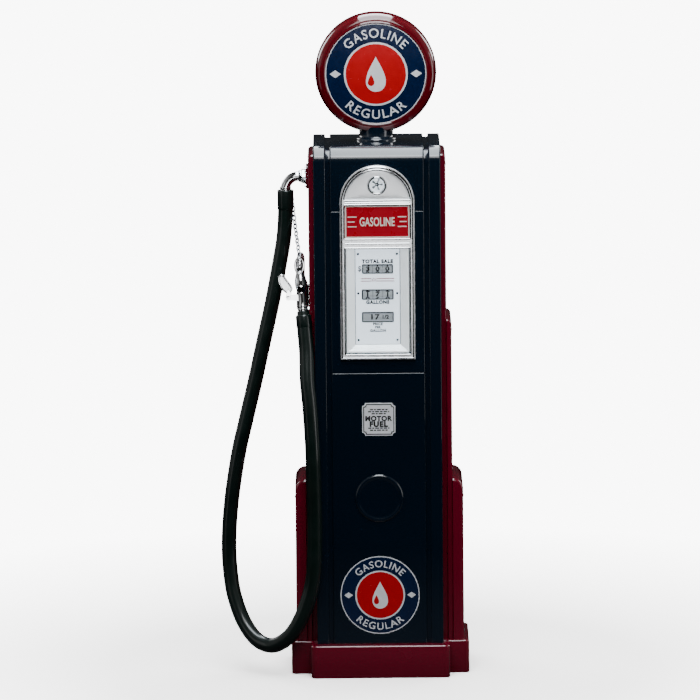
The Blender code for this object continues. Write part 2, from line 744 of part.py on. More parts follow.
def hose():
    path = [(ELBOW_X, 0.000, 1.6396), (-0.310, -0.001, 1.560), (-0.316, -0.004, 1.480),
            (-0.330, -0.010, 1.398), (-0.357, -0.018, 1.261), (-0.388, -0.026, 1.125),
            (-0.419, -0.033, 0.988), (-0.452, -0.038, 0.852), (-0.478, -0.042, 0.740),
            (-0.503, -0.047, 0.578), (-0.513, -0.053, 0.430), (-0.506, -0.066, 0.314),
            (-0.490, -0.084, 0.238), (-0.461, -0.108, 0.168), (-0.420, -0.140, 0.118),
            (-0.372, -0.172, 0.103), (-0.326, -0.202, 0.126), (-0.286, -0.222, 0.174),
            (-0.247, -0.235, 0.262), (-0.225, -0.239, 0.362), (-0.2195, -0.240, 0.500),
            (-0.2205, -0.240, 0.640), (-0.2245, -0.239, 0.800), (-0.2320, -0.229, 0.930),
            (-0.2400, -0.213, 1.020)]
    along = (NOZZLE_TOP - NOZZLE_IN).normalized()
    path += [NOZZLE_IN - along * 0.140, NOZZLE_IN - along * 0.080]
    path = smooth_path(path, 2) + [NOZZLE_IN - along * 0.0414]
    ob = tube("hose", path, HOSE_R, 2)
    smooth(ob)
    paint(ob, RUBBER, 0.0, 0.3)


def nozzle():
    along = (NOZZLE_TOP - NOZZLE_IN).normalized()
    ferrule = [(0.0, 0.0), (0.0200, 0.0), (0.0215, -0.004), (0.0215, -0.016), (0.0280, -0.018),
               (0.0280, -0.041), (0.0, -0.041)]
    ob = turned("hose_ferrule", ferrule, NOZZLE_IN, along, 20)
    paint(ob, RUBBER, 0.0, 0.35)
    body = [(0.0, 0.135), (0.0125, 0.135), (0.0140, 0.128), (0.0150, 0.108), (0.0195, 0.098),
            (0.0210, 0.080), (0.0195, 0.062), (0.0135, 0.052), (0.0130, 0.020),
            (0.0165, 0.016), (0.0165, GAP), (0.0, GAP)]
    ob = turned("nozzle_body", body, NOZZLE_IN, along, 16)
    px, pz = LEVER_PIVOT.x, LEVER_PIVOT.z
    lug = sheet("nozzle lug", [arc(px, pz, 0.0080, 90, 270, 6) + [(-0.264, pz - 0.008),
                                                                   (-0.264, pz + 0.008)],
                               circle(px, pz, 0.0038, 10)], "XZ", -0.1592, -0.1512, cutter=True)
    boolean(ob, lug, "UNION")
    paint(ob, CHROME, 1.0, 0.12)
    start = NOZZLE_IN + along * (0.135 + GAP)
    drop = BOOT_AT + Vector((0, 0, 0.040))
    path = [start, start + along * 0.006, start + along * 0.013]
    top = max(start.z + 0.045, 1.432)
    mid = (start + drop) / 2
    path += [Vector((start.x * 0.9 + drop.x * 0.1, start.y + 0.0105, top - 0.014)),
             Vector((mid.x, (start.y + drop.y) / 2, top)),
             Vector((drop.x, drop.y - 0.0085, top - 0.016)),
             Vector((drop.x, drop.y, top - 0.042)), drop]
    ob = tube("nozzle_spout", smooth_path(path, 3), 0.0110, 2)
    smooth(ob)
    paint(ob, CHROME, 1.0, 0.12)
    outline = arc(px, pz, 0.0095, -60, 60, 6) + [(-0.3080, 1.3075), (-0.3200, 1.3220),
                                                 (-0.3300, 1.3480), (-0.3385, 1.3480),
                                                 (-0.3320, 1.3170), (-0.3200, 1.2930)]
    ob = sheet("nozzle_lever", [outline], "XZ", -0.1642, -0.1462)
    fork = box("lever fork slot", (-0.3112, -0.1600, 1.27), (-0.28, -0.1504, 1.33), cutter=True)
    pin = rod("lever pin", (px, -0.1640, pz), (px, -0.1464, pz), 0.0030, segs=10, cutter=True)
    boolean(ob, fork)
    boolean(ob, pin, "UNION")
    set_origin(ob, LEVER_PIVOT)
    paint(ob, CHROME, 1.0, 0.15)


def nozzle_boot():
    """Cup on the side of the pump that takes the spout."""
    cup = [(0.0, 0.006), (0.0140, 0.006), (0.0140, 0.100), (0.0175, 0.100), (0.0190, 0.098),
           (0.0190, 0.0), (0.0, 0.0)]
    ob = turned("nozzle_boot", cup, BOOT_AT, UP, 18)
    bracket = box("boot bracket", (-0.2412, -0.086, 1.256), (-0.2324, -0.064, 1.324), cutter=True)
    boolean(ob, bracket, "UNION")
    paint(ob, (0.02, 0.02, 0.02), 0.4, 0.35)


def chain():
    top = Vector((ELBOW_X + 0.018, -0.026, 1.618))
    low = Vector((-0.262, -0.122, 1.4455))
    pts = []
    for i in range(13):
        t = i / 12
        p = top.lerp(low, t)
        p.z -= 0.020 * sin(pi * t)
        pts.append(p)
    ob = tube("chain", pts, 0.0026, 1)
    paint(ob, CHROME, 1.0, 0.2)


# ---------------------------------------------------------------- machinery inside
def motor():
    profile = [(0.0, 0.105), (0.030, 0.105), (0.070, 0.090), (0.080, 0.070), (0.080, -0.070),
               (0.070, -0.090), (0.030, -0.105), (0.0095, -0.107), (0.0095, -0.165),
               (0.0, -0.165)]
    ob = turned("motor", profile, (0.060, 0, MOTOR_Z), RIGHT, 20)
    foot = box("motor foot", (0.0, -0.055, 0.2014), (0.120, 0.055, MOTOR_Z - 0.06), cutter=True)
    boolean(ob, foot, "UNION")
    paint(ob, (0.10, 0.13, 0.12), 0.2, 0.5)


def pump_unit():
    profile = [(0.0, 0.075), (0.050, 0.075), (0.066, 0.060), (0.066, -0.060), (0.050, -0.070),
               (0.022, -0.072), (0.022, -0.092), (0.0095, -0.094), (0.0095, -0.155),
               (0.0, -0.155)]
    ob = turned("pump_unit", profile, (0.050, 0, PUMP_Z), RIGHT, 20)
    foot = box("pump foot", (0.0, -0.050, 0.4614), (0.100, 0.050, PUMP_Z - 0.04), cutter=True)
    inlet = rod("pump inlet", (0.060, 0.03, PUMP_Z), (0.060, 0.1146, PUMP_Z), 0.024, cutter=True)
    out = rod("pump outlet", (0.060, 0, PUMP_Z + 0.03), (0.060, 0, PUMP_Z + 0.085), 0.022,
              cutter=True)
    boolean(ob, foot, "UNION")
    boolean(ob, inlet, "UNION")
    boolean(ob, out, "UNION")
    paint(ob, CAST, 0.4, 0.5)


def pulley(name, r, z):
    profile = [(r + 0.004, 0.011), (r, 0.007), (r, -0.007), (r + 0.004, -0.011),
               (0.0100, -0.011), (0.0100, 0.011)]
    ob = turned(name, profile, (PULLEY_X, 0, z), RIGHT, 24, ring=True)
    paint(ob, CAST, 0.6, 0.4)


def belt():
    dist = PUMP_Z - MOTOR_Z
    lean = asin((PUMP_PULLEY_R - MOTOR_PULLEY_R) / dist)

    def loop(grow):
        a = lean * 180 / pi
        big = arc(0, PUMP_Z, PUMP_PULLEY_R + grow, -a, 180 + a, 16)
        small = arc(0, MOTOR_Z, MOTOR_PULLEY_R + grow, 180 + a, 360 - a, 10)
        return big + small

    ob = sheet("belt", [loop(0.0052), loop(0.0006)], "YZ", PULLEY_X - 0.0055, PULLEY_X + 0.0055)
    paint(ob, RUBBER, 0.0, 0.7)


def meter():
    profile = [(0.0, 0.080), (0.024, 0.080), (0.030, 0.060), (0.062, 0.055), (0.068, 0.045),
               (0.068, -0.045), (0.060, -0.060), (0.030, -0.070), (0.030, -0.108), (0.0, -0.108)]
    ob = turned("meter", profile, (0, -0.054, METER_Z), UP, 16)
    heads = rods("meter heads", [((-0.100, -0.054, METER_Z), (0.100, -0.054, METER_Z)),
                                 ((0, -0.130, METER_Z + 0.0005), (0, 0.040, METER_Z + 0.0005))],
                 0.032, segs=14, cutter=True)
    boolean(ob, heads, "UNION")
    paint(ob, CAST, 0.5, 0.45)


def pipes():
    path = smooth_path([(0.09, 0.135, 0.000), (0.09, 0.135, 0.16), (0.088, 0.137, 0.42),
                        (0.068, 0.142, 0.530), (0.060, 0.136, PUMP_Z)], 3)
    ob = tube("suction_pipe", path + [(0.060, 0.1180, PUMP_Z)], 0.018, 2)
    smooth(ob)
    paint(ob, STEEL, 0.8, 0.5)
    ob = tube("transfer_pipe", [(0.060, 0, PUMP_Z + 0.0854), (0.060, 0.0, 0.690),
                                (0.060, 0.020, 0.715), (0.060, 0.112, 0.720),
                                (0.055, 0.118, 0.740), (0.050, 0.118, 0.840),
                                (0.040, 0.110, METER_Z), (0.0, 0.080, METER_Z),
                                (0.0, 0.0404, METER_Z)], 0.014, 2)
    smooth(ob)
    paint(ob, STEEL, 0.8, 0.5)
    ob = tube("delivery_pipe", [(-0.1004, -0.054, METER_Z), (-0.125, -0.054, METER_Z),
                                (-0.140, -0.045, METER_Z + 0.015),
                                (-0.150, -0.010, METER_Z + 0.060), (-0.155, 0.0, 1.00),
                                (-0.155, 0.105, 1.065), (-0.155, 0.112, 1.12),
                                (-0.155, 0.100, 1.55), (-0.155, 0.03, 1.640),
                                (-0.160, 0.0, 1.672), (-0.175, 0.0, OUTLET_Z),
                                (-0.1956, 0.0, OUTLET_Z)], 0.014, 2)
    smooth(ob)
    paint(ob, STEEL, 0.8, 0.5)


def build():
    base_plinth()
    base_plate()
    frame()
    for side in (-1, 1):
        side_shell(side)
        for label, inner, outer, depth, top, radius in CASINGS:
            side_casing(side, label, inner, outer, depth, top, radius)
    hood_panel()
    dial_door()
    lower_door()
    access_cover()
    label_plate()
    rear_panels()
    bezel()
    ad_glass()
    dial_glass()
    dial_mask()
    dial_plate()
    computer_frame()
    drums()
    drive_shaft()
    sight_glass()
    globe()
    globe_collar()
    lamp()
    outlet()
    elbow()
    hose()
    nozzle()
    nozzle_boot()
    chain()
    motor()
    pump_unit()
    pulley("motor_pulley", MOTOR_PULLEY_R, MOTOR_Z)
    pulley("pump_pulley", PUMP_PULLEY_R, PUMP_Z)
    belt()
    meter()
    pipes()


build()
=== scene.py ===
"""Looks for the tall kerbside fuel dispenser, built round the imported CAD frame."""

import json
from math import asin, cos, degrees, hypot, pi, radians, sin

import bmesh
import bpy
from mathutils import Matrix, Vector

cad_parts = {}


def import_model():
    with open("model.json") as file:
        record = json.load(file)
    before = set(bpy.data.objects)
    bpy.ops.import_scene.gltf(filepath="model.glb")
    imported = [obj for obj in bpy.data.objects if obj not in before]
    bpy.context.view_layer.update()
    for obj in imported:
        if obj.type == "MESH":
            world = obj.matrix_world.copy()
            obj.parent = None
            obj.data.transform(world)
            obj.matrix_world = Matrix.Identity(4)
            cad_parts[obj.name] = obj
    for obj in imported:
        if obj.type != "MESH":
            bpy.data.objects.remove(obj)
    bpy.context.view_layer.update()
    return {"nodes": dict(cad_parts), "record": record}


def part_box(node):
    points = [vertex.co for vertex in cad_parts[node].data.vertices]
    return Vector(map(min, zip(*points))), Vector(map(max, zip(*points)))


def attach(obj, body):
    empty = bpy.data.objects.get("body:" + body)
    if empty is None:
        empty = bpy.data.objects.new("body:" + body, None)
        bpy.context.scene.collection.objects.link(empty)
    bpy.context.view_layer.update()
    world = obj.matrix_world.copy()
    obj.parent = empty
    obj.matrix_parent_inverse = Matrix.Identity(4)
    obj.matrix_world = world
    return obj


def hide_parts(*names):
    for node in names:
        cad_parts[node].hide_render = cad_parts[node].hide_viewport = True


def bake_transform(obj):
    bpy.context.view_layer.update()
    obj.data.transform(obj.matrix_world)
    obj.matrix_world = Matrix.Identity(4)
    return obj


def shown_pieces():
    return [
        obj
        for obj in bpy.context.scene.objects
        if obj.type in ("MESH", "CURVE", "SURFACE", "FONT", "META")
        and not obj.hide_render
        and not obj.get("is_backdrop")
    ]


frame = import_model()
NODES = frame["nodes"]
BODY_OF = {n: b for b, ns in frame["record"]["behaviour"]["bodies"].items() for n in ns}
FRONT = Vector((0, -1, 0))
BACK = Vector((0, 1, 0))
LEFT = Vector((-1, 0, 0))
RIGHT = Vector((1, 0, 0))
UP = Vector((0, 0, 1))


def low(node):
    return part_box(node)[0]


def high(node):
    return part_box(node)[1]


def middle(node):
    return (low(node) + high(node)) / 2


def adjust(thing, **settings):
    for key, value in settings.items():
        setattr(thing, key, value)
    return thing


def add(name, data):
    """A new object in the scene."""
    ob = bpy.data.objects.new(name, data)
    bpy.context.scene.collection.objects.link(ob)
    return ob


# ------------------------------------------------------------------ materials
class Nodes:
    """A shader tree built a few nodes at a time; every input is a value or a socket."""

    def __init__(self, tree):
        self.tree = tree
        self.coords = self.node("TexCoord").outputs

    def feed(self, node, key, value):
        if hasattr(value, "is_output"):
            self.tree.links.new(value, node.inputs[key])
        elif node.inputs[key].type == "RGBA":
            node.inputs[key].default_value = (*value, 1.0)
        else:
            node.inputs[key].default_value = value

    def node(self, kind, inputs=(), **settings):
        made = adjust(self.tree.nodes.new("ShaderNode" + kind), **settings)
        for key, value in dict(inputs).items():
            self.feed(made, key, value)
        return made

    def split(self, space="Object"):
        """X, Y and Z sockets of a coordinate."""
        return self.node("SeparateXYZ", {0: self.coords[space]}).outputs

    def noise(self, scale, detail=4.0, rough=0.55, stretch=None):
        source = self.coords["Object"]
        if stretch:
            source = self.node("Mapping", {"Vector": source, "Scale": stretch}).outputs[0]
        return self.node("TexNoise", {"Vector": source, "Scale": scale, "Detail": detail,
                                      "Roughness": rough}).outputs["Fac"]

    def ramp(self, fac, low, high, start=0.0, end=1.0, **settings):
        return self.node("MapRange", {"Value": fac, "From Min": low, "From Max": high,
                                      "To Min": start, "To Max": end}, **settings).outputs[0]

    def mix(self, fac, a, b):
        return self.node("Mix", {0: fac, 6: a, 7: b}, data_type="RGBA").outputs[2]

    def math(self, operation, a, b=0.5, clamp=False):
        return self.node("Math", {0: a, 1: b}, operation=operation, use_clamp=clamp).outputs[0]


class Mat(Nodes):
    """A material round a Principled shader."""

    def __init__(self, name):
        self.mat = bpy.data.materials.new(name)
        self.mat.use_nodes = True
        super().__init__(self.mat.node_tree)
        self.bsdf = self.tree.nodes["Principled BSDF"]

    def set(self, **inputs):
        """Feed the Principled shader; an underscore stands for a space."""
        for key, value in inputs.items():
            self.feed(self.bsdf, key.replace("_", " "), value)

    def bump(self, height, strength, distance):
        made = self.node("Bump", {"Strength": strength, "Distance": distance, "Height": height})
        self.set(Normal=made.outputs[0])

    def blend(self, fac, a, b):
        """Show shader a, going over to shader b with fac."""
        made = self.node("MixShader", {0: fac, 1: a.outputs[0], 2: b.outputs[0]})
        self.feed(self.tree.nodes["Material Output"], "Surface", made.outputs[0])


def srgb(*rgb):
    """Linear colour from 0-255 display values."""
    return tuple(c / 12.92 if c <= 0.04045 else ((c + 0.055) / 1.055) ** 2.4
                 for c in (v / 255 for v in rgb))


def shade(colour, share):
    return tuple(c * share for c in colour)


def enamel(name, colour, variation=0.25, roughness=0.22, coat=1.0):
    """Glossy stove enamel: colour drift, orange peel, duller patches and dust low down."""
    m = Mat(name)
    base = m.mix(m.ramp(m.noise(1.6, 3), 0.35, 0.65), shade(colour, 1 - variation), colour)
    speck = m.ramp(m.noise(90.0, 3), 0.62, 0.8, 0.0, 0.05)
    dust = m.math("ADD", speck, m.ramp(m.split()[2], 0.0, 0.16, 0.006, 0.0))
    pale = tuple(min(1.0, c * 2.0 + 0.05) for c in colour)
    m.set(Base_Color=m.mix(dust, base, pale),
          Roughness=m.ramp(m.noise(2.2, 4), 0.3, 0.7, roughness, roughness + 0.06),
          Coat_Weight=coat, Coat_Roughness=0.035, IOR=1.5, Specular_IOR_Level=0.2)
    m.bump(m.noise(240.0, 2), 0.06, 0.00015)
    return m.mat


def chrome(name, roughness=0.05, tint=(0.78, 0.79, 0.8)):
    """Bright plating with faint haze, fine scratches and soft pitting."""
    m = Mat(name)
    haze = m.noise(14.0, 5)
    scratches = m.noise(30.0, 6, 0.6, stretch=(1.0, 1.0, 24.0))
    smear = m.math("ADD", m.ramp(haze, 0.3, 0.8, 0.0, 0.06),
                   m.ramp(scratches, 0.5, 0.8, 0.0, 0.05))
    m.set(Base_Color=m.mix(m.ramp(haze, 0.35, 0.75), tint, shade(tint, 0.82)),
          Roughness=m.math("ADD", smear, roughness), Metallic=1.0)
    m.bump(scratches, 0.05, 0.0001)
    return m.mat


def steel(name, colour, roughness=0.4, metallic=0.9, scale=40.0):
    """Cast or rolled steel with grain and grime."""
    m = Mat(name)
    grain = m.noise(scale, 8, 0.65)
    m.set(Base_Color=m.mix(m.ramp(grain, 0.3, 0.7), shade(colour, 0.55), colour),
          Roughness=m.ramp(grain, 0.3, 0.7, roughness, roughness + 0.25), Metallic=metallic)
    m.bump(grain, 0.25, 0.0006)
    return m.mat


def rubber(name, colour, roughness=0.3):
    """Cloudy black rubber with a fine grain and a waxed sheen."""
    m = Mat(name)
    cloudy = m.ramp(m.noise(7.0, 4), 0.3, 0.7)
    m.set(Base_Color=m.mix(cloudy, shade(colour, 0.7), shade(colour, 1.25)),
          Roughness=m.ramp(m.noise(18.0, 5), 0.3, 0.7, roughness, roughness + 0.14),
          Coat_Weight=0.5, Coat_Roughness=0.08, Specular_IOR_Level=0.25)
    m.bump(m.noise(420.0, 4), 0.12, 0.0003)
    return m.mat


def plain(name, colour, roughness=0.35, variation=0.06, scale=25.0, **more):
    """Smooth printed, moulded or painted surface with slight mottling."""
    m = Mat(name)
    mottle = m.ramp(m.noise(scale, 5), 0.3, 0.7)
    m.set(Base_Color=m.mix(mottle, shade(colour, 1 - variation), colour),
          Roughness=m.ramp(m.noise(scale * 2, 4), 0.3, 0.7, roughness, roughness + 0.08), **more)
    m.bump(m.noise(scale * 12, 2), 0.05, 0.0001)
    return m.mat


def glass(name):
    """Window glass: see-through, with smears and a mirror sheen that grows towards grazing."""
    m = Mat(name)
    tint = m.mix(m.ramp(m.noise(5.0, 3), 0.3, 0.7), (0.95, 0.98, 0.98), (0.9, 0.94, 0.94))
    m.set(Base_Color=tint, Roughness=m.ramp(m.noise(12.0, 5), 0.4, 0.8, 0.01, 0.07), Metallic=1.0)
    sheen = m.math("POWER", m.node("LayerWeight").outputs["Facing"], 4.0)
    share = m.math("ADD", m.math("MULTIPLY", sheen, 0.7), 0.052, clamp=True)
    m.blend(share, m.node("BsdfTransparent", {"Color": (0.97, 0.985, 0.98)}), m.bsdf)
    return m.mat


def painted_glow(name, colour, roughness, variation, strength, light, **more):
    """A plain surface with painted light: a faint emission of its own brightens it, standing in for
    light on the parts behind the dial glass.
    """
    return plain(name, colour, roughness, variation, Emission_Strength=strength,
                 Emission_Color=light, **more)


M = {
    "navy": enamel("navy_enamel", srgb(4, 20, 34), 0.2),
    "maroon": enamel("maroon_enamel", srgb(108, 6, 34), 0.15),
    "chrome": chrome("chrome_plate"),
    "satin": chrome("satin_chrome", 0.18, (0.72, 0.73, 0.75)),
    "plating": plain("bright_plating", srgb(240, 243, 247), 0.22, 0.05, 30.0, Metallic=0.45),
    "silver": plain("silver_panel", srgb(244, 247, 250), 0.28, 0.05, 30.0, Metallic=0.3),
    "globe": enamel("globe_red", srgb(90, 4, 18), 0.12, 0.1),
    "white": plain("enamel_white", srgb(236, 240, 246), 0.22, Coat_Weight=0.6),
    "cream": plain("print_cream", srgb(244, 240, 232), 0.3),
    "ink": plain("ink_black", srgb(14, 16, 20), 0.4),
    "lens_navy": plain("print_navy", srgb(4, 26, 62), 0.18, 0.15, Coat_Weight=0.8),
    "red": plain("print_red", srgb(190, 2, 18), 0.2, 0.08, Coat_Weight=0.8),
    "ad_red": plain("sign_red", srgb(172, 6, 32), 0.25, 0.03, 9.0, Coat_Weight=0.8),
    # dial face, mask plating and number drums carry painted light: a faint emission that brightens
    # them
    "dial": painted_glow("dial_face", srgb(232, 240, 250), 0.3, 0.06, 1.5, (0.8, 0.88, 1.0)),
    "mask": painted_glow("mask_plating", srgb(240, 243, 248), 0.3, 0.04, 0.6, (0.94, 0.97, 1.0),
                    Metallic=0.35),
    "drum": painted_glow("drum_grey", srgb(176, 182, 188), 0.45, 0.1, 0.22, (0.85, 0.9, 1.0)),
    "chain": chrome("chain_steel", 0.16, (0.34, 0.35, 0.37)),
    "gunmetal": steel("dark_screw", srgb(70, 74, 80), 0.35, 0.9, 160.0),
    "rubber": rubber("hose_rubber", srgb(3, 19, 16)),
    "belt": rubber("belt_rubber", srgb(26, 24, 22), 0.6),
    "boot": enamel("boot_black", srgb(16, 16, 18), 0.2, 0.3, 0.5),
    "cast": steel("cast_iron", srgb(92, 95, 96), 0.5, 0.5, 60.0),
    "frame": steel("frame_paint", srgb(70, 72, 72), 0.55, 0.1, 30.0),
    "steel": steel("pipe_steel", srgb(150, 150, 150), 0.35, 0.9, 80.0),
    "screw": steel("screw_steel", srgb(150, 154, 158), 0.28, 0.9, 160.0),
    "brass": steel("brass", srgb(170, 130, 60), 0.3, 0.95, 50.0),
    "machine": enamel("machine_green", srgb(64, 84, 76), 0.3, 0.4, 0.3),
    "porcelain": plain("porcelain", srgb(206, 200, 186), 0.25),
    "glass": glass("window_glass"),
}


# ------------------------------------------------------------------ shapes: (points, faces)
def arc(cx, cy, r, start, end, n):
    """Points on a circle from start to end degrees."""
    angles = [radians(start + (end - start) * i / n) for i in range(n + 1)]
    return [(cx + r * cos(a), cy + r * sin(a)) for a in angles]


def ring(r, n):
    return arc(0, 0, r, 0, 360, n)[:-1]


def rounded(x0, x1, z0, z1, r, n=6):
    """Rectangle outline with rounded corners."""
    return (arc(x1 - r, z1 - r, r, 0, 90, n) + arc(x0 + r, z1 - r, r, 90, 180, n)
            + arc(x0 + r, z0 + r, r, 180, 270, n) + arc(x1 - r, z0 + r, r, 270, 360, n))


def at_y(outline, y):
    """Stand an (x, z) outline up at y."""
    return [(x, y, z) for x, z in outline]


def at_z(outline, z):
    """Lay an (x, y) outline flat at z."""
    return [(x, y, z) for x, y in outline]


def join(*shapes):
    points, faces = [], []
    for more_points, more_faces in shapes:
        start = len(points)
        points += more_points
        faces += [[i + start for i in face] for face in more_faces]
    return points, faces


def loft(loops, closed=True, caps=True, turn=False):
    """Skin over loops with equal numbers of points; turn joins the last loop to the first."""
    n, rows = len(loops[0]), len(loops)
    points = [Vector(p) for loop in loops for p in loop]
    faces = []
    for i in range(rows if turn else rows - 1):
        a, b = i * n, (i + 1) % rows * n
        for k in range(n if closed else n - 1):
            j = (k + 1) % n
            faces.append([a + k, a + j, b + j, b + k])
    if caps and not turn:
        faces.append(list(range(n)))
        faces.append(list(range((rows - 1) * n, rows * n)))
    return points, faces


def axes(direction):
    """Two unit vectors square to a direction and to each other."""
    d = Vector(direction).normalized()
    side = d.cross(UP if abs(d.z) < 0.9 else BACK).normalized()
    return side, side.cross(d)


def lathe(profile, place, axis, steps=64, hoop=False):
    """Turn (radius, height) points round an axis through place; hoop closes the profile."""
    u, v = axes(axis)
    d, place = Vector(axis).normalized(), Vector(place)
    loops = [[place + d * h + u * r * c + v * r * s for c, s in ring(1.0, steps)]
             for r, h in profile]
    return loft(loops, caps=not hoop, turn=hoop)


def rod(r, start, end, place, axis, steps):
    """Plain round bar between two heights on an axis."""
    return lathe([(0.0, end), (r, end), (r, start), (0.0, start)], place, axis, steps)


def tube(path, radius, steps=20):
    """Round bar along a path; radius is a number or a function of the share of the way."""
    path = [Vector(p) for p in path]
    last = len(path) - 1
    loops, u = [], None
    for i, p in enumerate(path):
        d = (path[min(i + 1, last)] - path[max(i - 1, 0)]).normalized()
        u = axes(d)[0] if u is None else (u - d * u.dot(d)).normalized()
        v = d.cross(u)
        r = radius(i / last) if callable(radius) else radius
        loops.append([p + u * r * c + v * r * s for c, s in ring(1.0, steps)])
    return loft(loops)


def hoop_tube(path, radius, steps=12, flat=1.0):
    """Round bar along a closed path, flattened square to the path's plane."""
    path = [Vector(p) for p in path]
    n = len(path)
    centre = sum(path, Vector()) / n
    normal = sum(((path[i] - centre).cross(path[(i + 1) % n] - centre) for i in range(n)),
                 Vector()).normalized()
    loops = []
    for i, p in enumerate(path):
        u = (path[(i + 1) % n] - path[i - 1]).normalized().cross(normal)
        loops.append([p + u * radius * c + normal * radius * flat * s
                      for c, s in ring(1.0, steps)])
    return loft(loops, turn=True)


def block(lo, hi):
    (x0, y0, z0), (x1, y1, z1) = lo, hi
    return loft([at_z(rule(x0, x1, y0, y1), z) for z in (z0, z1)])


def plate(outline, y0, y1):
    """An outline in X and Z pushed through from y0 to y1."""
    return loft([at_y(outline, y) for y in (y0, y1)])


def frame_line(outer, inner, y0, y1):
    """The strip between two outlines with equal numbers of points."""
    return loft([at_y(outer, y0), at_y(inner, y0), at_y(inner, y1), at_y(outer, y1)], turn=True)


def rule(x0, x1, z0, z1):
    return [(x0, z0), (x1, z0), (x1, z1), (x0, z1)]


def spline(points, per_span):
    """Catmull-Rom path through the points."""
    pts = [Vector(p) for p in points]
    pts = [2 * pts[0] - pts[1]] + pts + [2 * pts[-1] - pts[-2]]
    out = []
    for i in range(1, len(pts) - 2):
        p0, p1, p2, p3 = pts[i - 1:i + 3]
        for k in range(per_span):
            t = k / per_span
            a = -p0 + 3 * p1 - 3 * p2 + p3
            b = 2 * p0 - 5 * p1 + 4 * p2 - p3
            out.append(0.5 * (a * t ** 3 + b * t ** 2 + (p2 - p0) * t + 2 * p1))
    return out + [pts[-2]]


# ------------------------------------------------------------------ pieces
def bare(name, shape, away_from=None):
    """A clean mesh object; an open sheet is turned to face away from a point."""
    bm = bmesh.new()
    mesh = bpy.data.meshes.new(name)
    mesh.from_pydata([tuple(p) for p in shape[0]], [], shape[1])
    bm.from_mesh(mesh)
    bmesh.ops.remove_doubles(bm, verts=bm.verts, dist=0.000005)
    bmesh.ops.dissolve_degenerate(bm, edges=bm.edges, dist=0.000004)
    bmesh.ops.recalc_face_normals(bm, faces=bm.faces)
    if away_from is not None:
        start = Vector(away_from)
        if sum(f.normal.dot(f.calc_center_median() - start) * f.calc_area() for f in bm.faces) < 0:
            bmesh.ops.reverse_faces(bm, faces=bm.faces)
    bm.to_mesh(mesh)
    bm.free()
    return add(name, mesh)


def modify(ob, kind, **settings):
    adjust(ob.modifiers.new(kind, kind), **settings)


def evaluated(ob):
    """The object's mesh with its modifiers or text applied."""
    bpy.context.view_layer.update()
    graph = bpy.context.evaluated_depsgraph_get()
    return bpy.data.meshes.new_from_object(ob.evaluated_get(graph))


def bake(ob):
    mesh = evaluated(ob)
    ob.modifiers.clear()
    ob.data = mesh


def solidify(ob, thickness):
    modify(ob, "SOLIDIFY", thickness=thickness, offset=-1.0, use_even_offset=True)
    bake(ob)


def cut(ob, *shapes, operation="DIFFERENCE"):
    for shape in shapes:
        tool = bare("tool", shape)
        modify(ob, "BOOLEAN", object=tool, operation=operation, solver="EXACT")
        bake(ob)
        bpy.data.objects.remove(tool)


def soften(ob, width, segments=3, angle=50):
    modify(ob, "BEVEL", width=width, segments=segments, limit_method="ANGLE",
           angle_limit=radians(angle), harden_normals=False)


def finish(ob, material, node, sharp=35, stands_in=True, rides=True):
    """Material and shading, and the CAD node that the piece stands in for or belongs to."""
    ob.data.materials.clear()
    ob.data.materials.append(M[material])
    ob.data.shade_smooth()
    ob.data.set_sharp_from_angle(angle=radians(sharp))
    if rides:
        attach(ob, BODY_OF[node])
    if stands_in:
        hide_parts(node)


def piece(name, shape, material, node, sharp=35, stands_in=True):
    """A finished piece that stands in for a CAD node."""
    ob = bare(name, shape)
    finish(ob, material, node, sharp, stands_in)
    return ob


def detail(name, shape, material, node, sharp=35):
    """A finished piece added to a CAD node."""
    piece(name, shape, material, node, sharp, stands_in=False)


# ------------------------------------------------------------------ print and screws
def letters(text, size, bold=0.0, spacing=1.0, depth=0.0004):
    """Letters centred on the origin, standing up by depth."""
    curve = adjust(bpy.data.curves.new("letters", "FONT"), body=text, size=size, offset=bold,
                   extrude=depth / 2, space_character=spacing, align_x="CENTER", resolution_u=4)
    ob = add("letters", curve)
    points, faces = shape_of(evaluated(ob))
    bpy.data.objects.remove(ob)
    rise = (min(p.y for p in points) + max(p.y for p in points)) / 2
    shift = (min(p.x for p in points) + max(p.x for p in points)) / 2
    return [Vector((p.x - shift, p.y - rise, p.z + depth / 2)) for p in points], faces


def shape_of(mesh):
    return [v.co.copy() for v in mesh.vertices], [list(p.vertices) for p in mesh.polygons]


def stretched(shape, wide, tall=1.0):
    return [Vector((p.x * wide, p.y * tall, p.z)) for p in shape[0]], shape[1]


def flat_print(shape, x, z, y):
    """Lay flat artwork on a surface that faces -Y at the given place."""
    return [Vector((x + p.x, y - p.z, z + p.y)) for p in shape[0]], shape[1]


def bent_print(shape, radius, top, surface):
    """Bend artwork round a circle, above or below the centre; surface maps (x, z, lift)."""
    out = []
    for p in shape[0]:
        a = (pi / 2 - p.x / radius) if top else (-pi / 2 + p.x / radius)
        r = radius + (p.y if top else -p.y)
        out.append(surface(r * cos(a), r * sin(a), p.z))
    return out, shape[1]


def band(r0, r1, depth, surface, steps=96, rows=12):
    """A flat ring, or a disc when r0 is close to nought, laid on a surface."""
    radii = [r0 + (r1 - r0) * i / rows for i in range(rows + 1)]
    path = [(r, depth) for r in radii] + [(r, 0.0) for r in reversed(radii)]
    return loft([[surface(r * c, r * s, lift) for c, s in ring(1.0, steps)] for r, lift in path],
                turn=True)


def dished(outline, depth, surface, rows=8):
    """A filled patch that follows a curved surface: loops shrink towards the middle."""
    cx = sum(x for x, _ in outline) / len(outline)
    cz = sum(z for _, z in outline) / len(outline)
    path = [(1 - i / rows * 0.999, depth) for i in range(rows + 1)] + [(0.001, 0.0), (1.0, 0.0)]
    return loft([[surface(cx + (x - cx) * k, cz + (z - cz) * k, lift) for x, z in outline]
                 for k, lift in path], turn=True)


